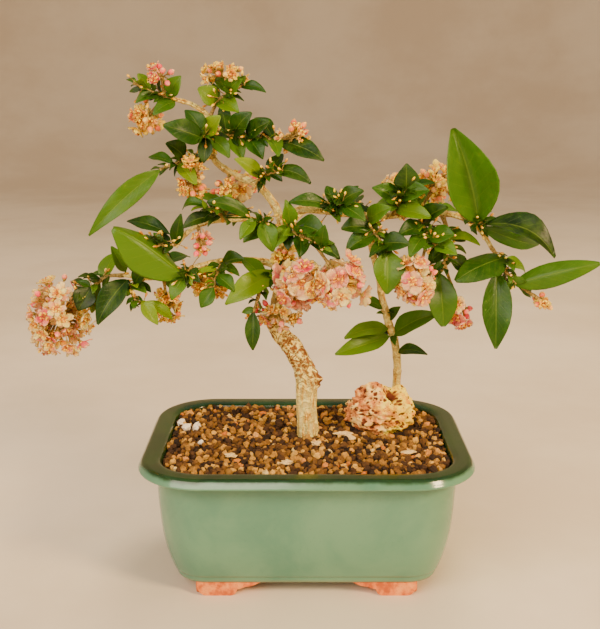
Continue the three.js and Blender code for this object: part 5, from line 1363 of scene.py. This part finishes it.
leaf, tree, shader = finish("glossy_leaf", Roughness=0.45, Coat_Weight=0.04, Coat_Roughness=0.3,
                            Specular_IOR_Level=0.27, Subsurface_Weight=0.12,
                            Subsurface_Radius=(0.4, 1.0, 0.04), Subsurface_Scale=0.0014)
place = object_place(tree)
blade = marked(tree, "blade", "Vector")
sideways = number(tree, "ABSOLUTE", part_of(tree, blade, "X"))
forward, under = part_of(tree, blade, "Y"), part_of(tree, blade, "Z")
rib = spread(tree, sideways, 0.012, 0.06, 1, 0)
slant = number(tree, "MULTIPLY_ADD", sideways, -1.9, number(tree, "MULTIPLY", forward, 8.5))
vein = use(tree, veins, "Mask", Row=slant, Width=0.09)
vein = number(tree, "MULTIPLY", vein, spread(tree, sideways, 0.6, 0.95, 1, 0))
green = ramp(tree, marked(tree, "tint"), [
    (0.0, 6, 28, 0), (0.25, 18, 54, 0), (0.5, 40, 82, 0),
    (0.75, 74, 112, 0), (1.0, 120, 144, 2)])
cloud = clouds(tree, place, 110.0, Low=0.38, High=0.72)
green = tinged(tree, cloud, 0.3, green, colour(82, 116, 2))
green = tinged(tree, vein, 0.08, green, colour(130, 156, 40))
green = tinged(tree, rib, 0.26, green, colour(138, 160, 50))
green = tinged(tree, under, 0.45, green, colour(92, 124, 40))
creases = number(tree, "MULTIPLY_ADD", vein, 0.3, rib)
feed(tree, shader, Base_Color=green,
     Roughness=number(tree, "MULTIPLY_ADD", under, 0.2, spread(tree, cloud, 0, 1, 0.36, 0.5)),
     Normal=bumps(tree, place, 700.0, Detail=2.0, Hollows=creases, Depth=0.0003))

shoot, tree, shader = finish("green_shoot", Roughness=0.65)
place = marked(tree, "grain", "Vector")
feed(tree, shader,
     Base_Color=ramp(tree, clouds(tree, place, 0.8, Detail=5.0), [
         (0, 96, 74, 24), (0.5, 152, 128, 50), (1, 190, 150, 90)]),
     Normal=bumps(tree, place, 1.4, Detail=5.0, Depth=0.0003))

# The second stem: a straight, slender stem of the same tree that rises behind the stone and leans
# into the long right-hand limb. It carries a few leaves half way up.

SECOND_STEM = {
    "route": [[58, 78, 40], [58, 92, 40], [57, 106, 39], [57, 120, 35], [57, 132, 30],
              [55, 146, 24], [51, 158, 18], [47, 172, 12], [45, 184, 7], [41, 200, 2],
              [37, 214, -2], [35, 220.5, -4]],
    "radii": [3.0, 2.8, 2.6, 2.5, 2.4, 2.1, 1.9, 1.7],
    "leaves": [
        [[47, 167, 12], [34, 172, 4], 8, 30, 0.06, 0.5],
        [[51, 154, 18], [24, 149, 2], 11, 30, 0.06, 0.8, 0.3],
        [[52, 149, 21], [17, 137, 4], 13, 20, 0.06, 0.78, 0.4],
        [[54, 150, 21], [81, 164, 5], 14, 25, 0.06, 0.62],
        [[57, 139, 26], [76, 138, 16], 9, 35, 0.16, 0.12],
        [[51, 160, 18], [58, 168, 10], 8, 30, 0.05, 0.45],
        [[46, 178, 10], [60, 186, 24], 10, 40, 0.05],
    ],
}
STEM_YOUNG = 6
STEM_YOUNG_LONGEST = 15
STEM_SIDES = 20
STEM_STEPS = 120

draw = np.random.default_rng(21)
second_leaves = planned_leaves(SECOND_STEM["leaves"])
take(marks_of(second_leaves), "second_stem")
spray_leaves = {}
for name, plan in SPRAYS.items():
    spray_leaves[name] = planned_leaves(plan["leaves"]) if "leaves" in plan else as_leaves([])
    take(marks_of(spray_leaves[name]), name)

route = sighted(SECOND_STEM["route"])
young = young_leaves(route[4:9], STEM_YOUNG, STEM_YOUNG_LONGEST, draw)
second_leaves = merged(second_leaves, young)
heels = nearest_on(route, second_leaves["base"])
second = add_skins("second_stem_and_leaves", [
    (wood(route, SECOND_STEM["radii"], STEM_SIDES, STEM_STEPS, limb_relief), 1),
    (leaf_skins(second_leaves, heels, draw), 0)], [leaf, bark])
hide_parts("second_stem")

# The blossom: flowers in bunches at the leaf joints. Each has five clawed petals with a frilled
# edge round a tuft of yellow stamens, on a slender stalk with a green cup, and there are pink buds
# among them. Some bunches are full open, some crowded, and some small and half spent.

# A row is where a bunch's stalk leaves its limb, its middle, its half sizes across, up and in
# depth, how many flowers and buds it has, their reach, their colour, and which kind it is
BUNCH_ROW = ("root", "centre", "half", "blooms", "buds", "radius", "colour", "habit")
BUNCHES = {
    "left_end_bunch": [[-140, 173, -9], [-153, 162, -7],
                       [17, 24, 17], 11, 4, 7.6, "pink", "crowded"],
    "apex_left_bunch": [[-84, 295, 6], [-85, 306, 4], [7, 5, 7], 3, 2, 6.3, "pink", "crowded"],
    "apex_left_low_bunch": [[-84, 295, 6], [-94, 283, 2],
                            [8, 8, 9], 3, 2, 6.3, "peach", "crowded"],
    "apex_top_bunch": [[-46, 297, 10], [-48, 307, 12], [12, 5, 10], 4, 3, 6.6, "peach", "spent"],
    "peach_bunch": [[-64, 259, 4], [-69, 247, -6], [6, 11, 8], 4, 2, 6.8, "peach", "crowded"],
    "inner_yellow_bunch": [[-46, 250, 8], [-48, 241, 0], [8, 4, 6], 2, 1, 6.3, "peach", "spent"],
    "apex_right_bunch": [[-20, 269, -3], [-9, 271, -8], [8, 8, 7], 2, 3, 6.1, "peach", "spent"],
    "centre_left_bunch": [[-5, 213, -22], [-3, 184, -30], [11, 13, 13], 6, 2, 8.1, "pink", "open"],
    "centre_right_bunch": [[4, 208.5, -31], [22, 183, -38],
                           [13, 14, 13], 7, 2, 8.1, "pink", "open"],
    "trunk_bunch": [[-18, 176, 5], [-19, 163, -8], [15, 7, 8], 4, 2, 6.1, "pink", "crowded"],
    "fork_bunch": [[-14, 206, 2], [-13, 196, -14], [5, 7, 5], 2, 1, 5.9, "peach", "crowded"],
    "right_inner_bunch": [[74, 211, -23], [68, 184, -30], [8, 15, 10], 6, 2, 7.3, "pink", "open"],
    "right_top_bunch": [[66, 225, -3], [78, 243, 2], [11, 9, 11], 5, 3, 6.6, "peach", "crowded"],
    "right_low_bunch": [[84, 196, -11], [95, 166, -8], [5, 9, 7], 3, 1, 7.6, "pink", "open"],
    "right_end_bunch": [[127, 184, -9], [146, 171, -10], [4, 3, 5], 1, 2, 5.9, "peach", "spent"],
    "lower_left_bunch": [[-62, 194, -5], [-60, 182, 0], [8, 6, 9], 4, 1, 6.6, "peach", "crowded"],
    "left_low_bunch": [[-88, 186.5, -6], [-86, 170, -4],
                       [7, 11, 7], 3, 1, 6.3, "peach", "crowded"],
    "left_limb_bunch": [[-66, 218.5, -11], [-64, 207, -18],
                        [4, 5, 5], 1, 2, 6.1, "pink", "crowded"],
    "back_left_bunch": [[-44, 228, 20], [-38, 242, 30], [10, 7, 10], 3, 2, 7.1, "pink", "open"],
    "back_right_bunch": [[66, 231, 24], [58, 240, 38], [10, 7, 10], 3, 2, 7.1, "pink", "open"],
}
# What three of the bunches have in place of their kind's own values
SPECIAL_BUNCHES = {
    "left_end_bunch": {"more": 5.5}, "apex_left_bunch": {"more": 0.7, "tones": (1.4, 5.0)},
    "right_low_bunch": {"more": 0.4}}
PETALS = 5
STAMENS = 11
PETAL_STATIONS = np.array([0.08, 0.22, 0.38, 0.55, 0.72, 0.87, 0.97])
PETAL_COLUMNS = np.array([1, 0.6, 0.2, -0.2, -0.6, -1, -0.6, -0.2, 0.2, 0.6])
PETAL_SKIN = np.array([0, 1, 1, 1, 1, 0, -1, -1, -1, -1])
BUD_LENGTH = 4.6
PEDICEL_RADIUS = 0.45
EGG_SHARE = 1.25
STALK_SIDE = 0.72
BLOOM_CLEAR = 6
MORE_CLEAR = 4.2
MORE_TRIES = 160
MORE_BUDS = 4
BUD_INNER = 0.7
BUD_ROOM = 2.8

# How each kind of bunch differs: the flowers' reach and petal width as shares of the usual, how
# far in from the egg's skin they go, how far apart they are, how many times as many there are, how
# steeply the petals lift, the size of their tuft, and the two powers that spread their tones
HABITS = {
    "open": {"reach": 1.02, "fan": 0.96, "inner": 0.4, "room": 0.66, "more": 2.4, "lift": 0.34,
             "tuft": 1.35, "tones": (1.7, 1.5)},
    "crowded": {"reach": 0.82, "fan": 0.64, "inner": 0.25, "room": 0.42, "more": 3.4, "lift": 0.6,
                "tuft": 1.15, "tones": (2.0, 1.2)},
    "spent": {"reach": 0.68, "fan": 0.56, "inner": 0.4, "room": 0.5, "more": 1.5, "lift": 0.8,
              "tuft": 0.9, "tones": (2.4, 0.9)},
}


def bunch_places(plan, owner, draw):
    """Spots that wind over the bunch's egg by the golden angle, with the way out of the egg at
    each, and none near its stalk or on a leaf."""
    middle = sighted(plan["centre"])
    back = unit(sighted(plan["root"]) - middle)
    wide, tall, deep = plan["half"]
    total = plan["blooms"] + plan["buds"]
    turn = next(draw) * 2 * math.pi
    spots, ways = [], []
    for index in range(total * 3):
        if len(spots) == total:
            break
        height = 1 - 2 * (index + 0.5) / (total * EGG_SHARE)
        level = math.sqrt(max(0, 1 - height ** 2))
        angle = turn + index * GOLDEN_ANGLE
        way = np.array([level * math.cos(angle), level * math.sin(angle), height])
        spot = way * [wide, deep, tall] * (0.86 + 0.28 * next(draw)) + middle
        free = is_free(spot[None], owner, BLOOM_CLEAR, BLOOM_CLEAR)
        if height > -1 and way @ back < STALK_SIDE and free:
            take(spot[None], owner)
            spots.append(spot)
            ways.append(way)
    return np.array(spots), np.array(ways)


def more_places(plan, owner, count, inner, room, draw):
    """More spots on and inside the same egg, each with room around it."""
    middle = sighted(plan["centre"])
    back = unit(sighted(plan["root"]) - middle)
    wide, tall, deep = plan["half"]
    spots, ways = [], []
    for way in unit(draw.normal(size=(MORE_TRIES, 3))):
        spot = way * [wide, deep, tall] * draw.uniform(inner, 1.06) + middle
        free = is_free(spot[None], owner, MORE_CLEAR, room)
        if len(spots) < count and way @ back < 0.8 and free:
            take(spot[None], owner)
            spots.append(spot)
            ways.append(way)
    return np.array(spots).reshape(-1, 3), np.array(ways).reshape(-1, 3)


def petal_skins(centres, ways, radii, tones, habit, draw):
    """Five thin closed petals to a flower. At a share s of its reach, a petal is as wide as a
    narrow claw plus a fan that swells as a sine; it lifts by s squared and rolls back at the rim,
    which is notched and frilled by waves that grow with s cubed."""
    across, other = square_to(ways)
    count = len(centres)
    angle = turns(PETALS) + draw.normal(0, 0.1, (count, PETALS))
    out, beside = spokes(across, other, angle), spokes(other, -across, angle)
    s = PETAL_STATIONS[:, None]
    c = PETAL_COLUMNS
    n = (slice(None), slice(None), None, None)
    broad = (habit["fan"] * draw.uniform(0.85, 1.12, (count, PETALS)))[n]
    fan = (0.07 + 0.47 * np.sin(math.pi * np.clip((s - 0.14) / 0.94, 0, 1)) ** 0.7) * broad
    tilt = draw.normal(0, 0.13, (count, PETALS))[n]
    phase = draw.uniform(0, 6, (count, PETALS))[n]
    lift = 0.08 + (habit["lift"] + tilt) * s ** 2 - 0.16 * s ** 6 + 0.2 * fan * c ** 2
    lift = lift + 0.075 * s ** 3 * np.sin(c * 6.5 + phase) + 0.05 * s * np.sin(8 * s + phase)
    notch = 1 - 0.13 * c ** 2 * s ** 3 + 0.05 * s ** 4 * np.sin(c * 8 + phase * 2)
    size = radii[:, None, None, None] * draw.uniform(0.84, 1.1, (count, PETALS))[n]
    skin = (centres[:, None, None, None] + out[:, :, None, None] * (size * s * notch)[..., None]
            + beside[:, :, None, None] * (size * c * fan)[..., None]
            + ways[:, None, None, None] * (size * lift + 0.12 * PETAL_SKIN)[..., None])
    mark = np.stack(np.broadcast_arrays(c, s, PETAL_SKIN < 0), axis=-1).astype(float)
    tone = np.clip(tones[:, None] + draw.normal(0, 0.1, (count, PETALS)), 0, 1)
    skin = skin.reshape((-1,) + skin.shape[2:])
    return closed_skins(skin, blade=np.broadcast_to(mark, (len(skin),) + mark.shape),
                        tint=np.broadcast_to(tone.reshape(-1, 1, 1), skin.shape[:3]))


def spindle_skins(starts, ways, lengths, shape, sides, tints, ribs=0.0):
    """Round forms carried along a straight way: at each share of the length a ring of the radius
    given, in millimetres, with as many ribs as a flower has petals. Each keeps its tint."""
    across, other = square_to(ways)
    share, radius = np.asarray(shape, float).T
    around = turns(sides)
    swell = radius[:, None] * (1 + ribs * np.cos(PETALS * around))
    spoke = spokes(across, other, around)
    middle = starts[:, None] + ways[:, None] * (lengths[:, None] * share)[..., None]
    skin = middle[:, :, None] + spoke[:, None] * swell[..., None]
    mark = np.stack(np.broadcast_arrays(0.0, share[:, None], np.zeros(sides)), axis=-1)
    return closed_skins(skin, blade=np.broadcast_to(mark, (len(starts),) + mark.shape),
                        tint=np.broadcast_to(tints[:, None, None], skin.shape[:3]))


def stalk_skins(heels, ends, radii, sides=5, rings=7):
    """Thin stalks on a parabola from heel to end that sags outwards, a little thicker at each
    end."""
    reach = ends - heels
    bend = (heels + ends) / 2 + [0, 0, 1] * (0.12 * np.linalg.norm(reach, axis=1, keepdims=True))
    t = np.linspace(0, 1, rings)[:, None]
    path = (heels[:, None] * (1 - t) ** 2 + 2 * bend[:, None] * t * (1 - t)
            + ends[:, None] * t ** 2)
    way = unit(np.gradient(path, axis=1))
    across, _ = square_to(unit(reach))
    across = squared(across[:, None], way)
    other = np.cross(way, across)
    around = turns(sides)
    spoke = spokes(across, other, around)
    thick = radii[:, None] * (0.85 + 0.5 * (2 * t[:, 0] - 1) ** 4)
    skin = path[:, :, None] + spoke * thick[..., None, None]
    grain = np.stack(np.broadcast_arrays(
        np.cos(around) * 0.5, np.sin(around) * 0.5, t * 12), axis=-1)
    return closed_skins(skin, grain=np.broadcast_to(grain, skin.shape))


# The wash over a petal: its own tone, deeper in the throat, in blots and along the fine veins, and
# paler towards the rim
petal_wash, given, out = new_group(
    "petal_wash",
    [("Blade", "Vector", None), ("Place", "Vector", None), ("Tone", "Color", None),
     ("Throat", "Color", None), ("Rim", "Color", None)],
    [("Color", "Color")])
reach = part_of(petal_wash, given["Blade"], "Y")
row = number(petal_wash, "MULTIPLY", part_of(petal_wash, given["Blade"], "X"), 4.0)
vein = use(petal_wash, veins, "Mask", Row=row, Width=0.2)
blot = clouds(petal_wash, given["Place"], 230.0, Low=0.5, High=0.68)
tone = mix(petal_wash, spread(petal_wash, reach, 0.62, 1.0, 0, 0.55), given["Tone"], given["Rim"])
tone = tinged(petal_wash, blot, 0.36, tone, given["Throat"])
tone = tinged(petal_wash, vein, 0.1, tone, given["Throat"])
tone = mix(petal_wash, spread(petal_wash, reach, 0.1, 0.4, 0.6, 0), tone, given["Throat"])
petal_wash.links.new(tone, out["Color"])


def petal_finish(name, stops, throat, rim):
    """Thin crinkled petals in their own tones."""
    material, tree, shader = finish(name, Roughness=0.6, Subsurface_Weight=0.5,
                                    Subsurface_Radius=(1.0, 0.6, 0.4), Subsurface_Scale=0.002)
    place = object_place(tree)
    feed(tree, shader,
         Base_Color=use(tree, petal_wash, "Color", Blade=marked(tree, "blade", "Vector"),
                        Place=place, Tone=ramp(tree, marked(tree, "tint"), stops),
                        Throat=throat, Rim=rim),
         Normal=bumps(tree, place, 650.0, Depth=0.0006))
    return material


pink_petal = petal_finish("pink_petal", [
    (0.0, 222, 48, 80), (0.16, 255, 112, 122), (0.34, 255, 166, 134),
    (0.56, 255, 206, 132), (0.76, 255, 238, 140), (0.9, 255, 214, 70),
    (1.0, 236, 160, 20)], colour(240, 66, 84), colour(255, 238, 172))
pale_petal = petal_finish("pale_petal", [
    (0.0, 206, 60, 60), (0.14, 246, 140, 98), (0.3, 255, 200, 122),
    (0.54, 255, 226, 84), (0.8, 242, 190, 20), (1.0, 186, 118, 8)],
    colour(214, 138, 6), colour(255, 236, 120))
stamen, tree, shader = finish("stamen_yellow", Roughness=0.6)
place = object_place(tree)
dusted = clouds(tree, place, 420.0)
anther = ramp(tree, marked(tree, "tint"), [
    (0.0, 150, 64, 4), (0.25, 224, 136, 4), (0.55, 255, 196, 16),
    (1.0, 255, 232, 60)])
along = part_of(tree, marked(tree, "blade", "Vector"), "Y")
headed = spread(tree, along, 0.5, 0.8, 0, number(tree, "MULTIPLY_ADD", dusted, 0.2, 0.8))
feed(tree, shader,
     Base_Color=mix(tree, headed, colour(250, 196, 110), anther),
     Normal=bumps(tree, place, 2500.0, Depth=0.0002))
flower_parts = {"pink": [pink_petal, stamen, shoot, leaf],
                "peach": [pale_petal, stamen, shoot, leaf]}

BUNCH_STALK = [1.05, 0.85, 1.2]
CUP = [[0.0, 0.35], [0.35, 0.95], [0.7, 1.35], [1.0, 1.0]]
PISTIL = [[0.0, 0.8], [0.35, 1.2], [0.7, 0.95], [1.0, 0.4]]
FILAMENT = [[0.0, 0.24], [0.64, 0.22], [0.78, 0.74], [0.93, 0.72], [1.0, 0.36]]
BUD = [[0.0, 0.8], [0.18, 1.45], [0.4, 1.75], [0.62, 1.5], [0.82, 0.9], [0.97, 0.3]]

draw = np.random.default_rng(31)
bunches = {name: dict(zip(BUNCH_ROW, row)) for name, row in BUNCHES.items()}
for order, (name, plan) in enumerate(bunches.items()):
    plan.update(SPECIAL_BUNCHES.get(name, {}))
    plan["spots"], plan["ways"] = bunch_places(plan, name, seeded(order + 40))
for name, plan in bunches.items():
    middle = sighted(plan["centre"])
    habit = HABITS[plan["habit"]]
    index = np.arange(len(plan["spots"]))
    is_bud = (index % 3 == 1) & (np.cumsum(index % 3 == 1) <= plan["buds"])
    wanted = round(plan["blooms"] * plan.get("more", habit["more"]))
    room = plan["radius"] * habit["room"]
    spots, ways = more_places(plan, name, wanted, habit["inner"], room, draw)
    bud_spots, bud_ways = more_places(
        plan, name, plan["buds"] + MORE_BUDS, BUD_INNER, BUD_ROOM, draw)
    blooms = np.concatenate([plan["spots"][~is_bud], spots])
    facing = unit(np.concatenate([plan["ways"][~is_bud], ways]) + unit(blooms - middle)
                  + draw.normal(0, 0.25, (len(blooms), 3)))
    buds = np.concatenate([plan["spots"][is_bud], bud_spots])
    bud_way = unit(np.concatenate([plan["ways"][is_bud], bud_ways]) + unit(buds - middle))
    radii = plan["radius"] * habit["reach"] * draw.uniform(0.8, 1.1, len(blooms))
    tones = draw.beta(*plan.get("tones", habit["tones"]), len(blooms))
    turn = turns(STAMENS) + draw.normal(0, 0.25, (len(blooms), STAMENS))
    across, other = square_to(facing)
    out = spokes(across, other, turn)
    lean = draw.uniform(0.3, 1.3, (len(blooms), STAMENS, 1))
    tuft = unit(facing[:, None] + out * lean).reshape(-1, 3)
    roots = (blooms[:, None] + out * 0.5 + facing[:, None] * 0.4).reshape(-1, 3)
    tuft_length = draw.uniform(2.0, 4.0, len(roots)) * habit["tuft"]
    heads = np.concatenate([blooms, buds])
    head_ways = np.concatenate([facing, bud_way])
    heels = middle + draw.normal(0, 0.9, (len(heads), 3))
    piece = add_skins(name.replace("bunch", "blossom"), [
        (petal_skins(blooms, facing, radii, tones, habit, draw), 0),
        (spindle_skins(buds, bud_way, draw.uniform(0.7, 1.1, len(buds)) * BUD_LENGTH, BUD, 10,
                       draw.uniform(0, 0.35, len(buds)), 0.06), 0),
        (spindle_skins(roots, tuft, tuft_length, FILAMENT, 4, draw.uniform(0, 1, len(roots))), 1),
        (spindle_skins(blooms - facing * 0.2, facing, np.full(len(blooms), 1.8), PISTIL, 7,
                       draw.uniform(0, 0.6, len(blooms))), 1),
        (spindle_skins(heads - head_ways * 1.3, head_ways, np.full(len(heads), 1.6), CUP, 8,
                       np.full(len(heads), 0.45), 0.12), 2),
        (stalk_skins(heels, heads - head_ways * 1.1, np.full(len(heads), PEDICEL_RADIUS)), 2),
        (wood(sighted([plan["root"], plan["centre"]]), BUNCH_STALK, 8, 10, limb_relief), 2),
    ], flower_parts[plan["colour"]])
    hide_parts(name)

# The leafy shoots: the rest of the foliage, where each shoot carries its own leaves, those that
# fill it, and young ones in facing pairs, which grow in last of all.

YOUNG_LEAVES = 13
YOUNG_LONGEST = 15
THICKETS = {"right_limb_inner_spray": 30, "right_mid_spray": 28, "right_fore_spray": 28,
            "centre_front_spray": 22, "apex_front_spray": 20, "apex_right_spray": 22,
            "middle_upper_spray": 18, "left_limb_spray": 20, "right_low_spray": 18}
SHOOT_SIDES = 10
SHOOT_STEPS = 10
SMALL_STALK = 0.32
SMALL_BUD = [[0.0, 0.3], [0.2, 0.62], [0.45, 0.85], [0.7, 0.7], [0.95, 0.25]]

draw = np.random.default_rng(47)
for order, (name, plan) in enumerate(SPRAYS.items()):
    count, longest = plan["fill"]
    filled = filling_leaves(sighted(plan["route"]), count, longest, name, seeded(order + 2))
    spray_leaves[name] = merged(spray_leaves[name], filled)
for name, plan in SPRAYS.items():
    route = sighted(plan["route"])
    young = THICKETS.get(name, YOUNG_LEAVES)
    leaves = merged(spray_leaves[name], young_leaves(route, young, YOUNG_LONGEST, draw))
    heels = np.array([point_on(route, t) for t in draw.uniform(0.1, 1, young)])
    ways = unit(draw.normal(size=(young, 3)) + [0, -0.3, 0.3])
    heads = heels + ways * draw.uniform(3.5, 9, (young, 1))
    piece = add_skins(name.replace("spray", "leaves"), [
        (leaf_skins(leaves, nearest_on(route, leaves["base"]), draw), 0),
        (wood(route, plan["radii"], SHOOT_SIDES, SHOOT_STEPS * len(route), limb_relief), 1),
        (stalk_skins(heels, heads, np.full(young, SMALL_STALK)), 1),
        (spindle_skins(heads, ways, draw.uniform(2.2, 4, young), SMALL_BUD, 7,
                       draw.beta(2.5, 1, young), 0.1), 2)], [leaf, shoot, pale_petal])
    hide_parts(name)
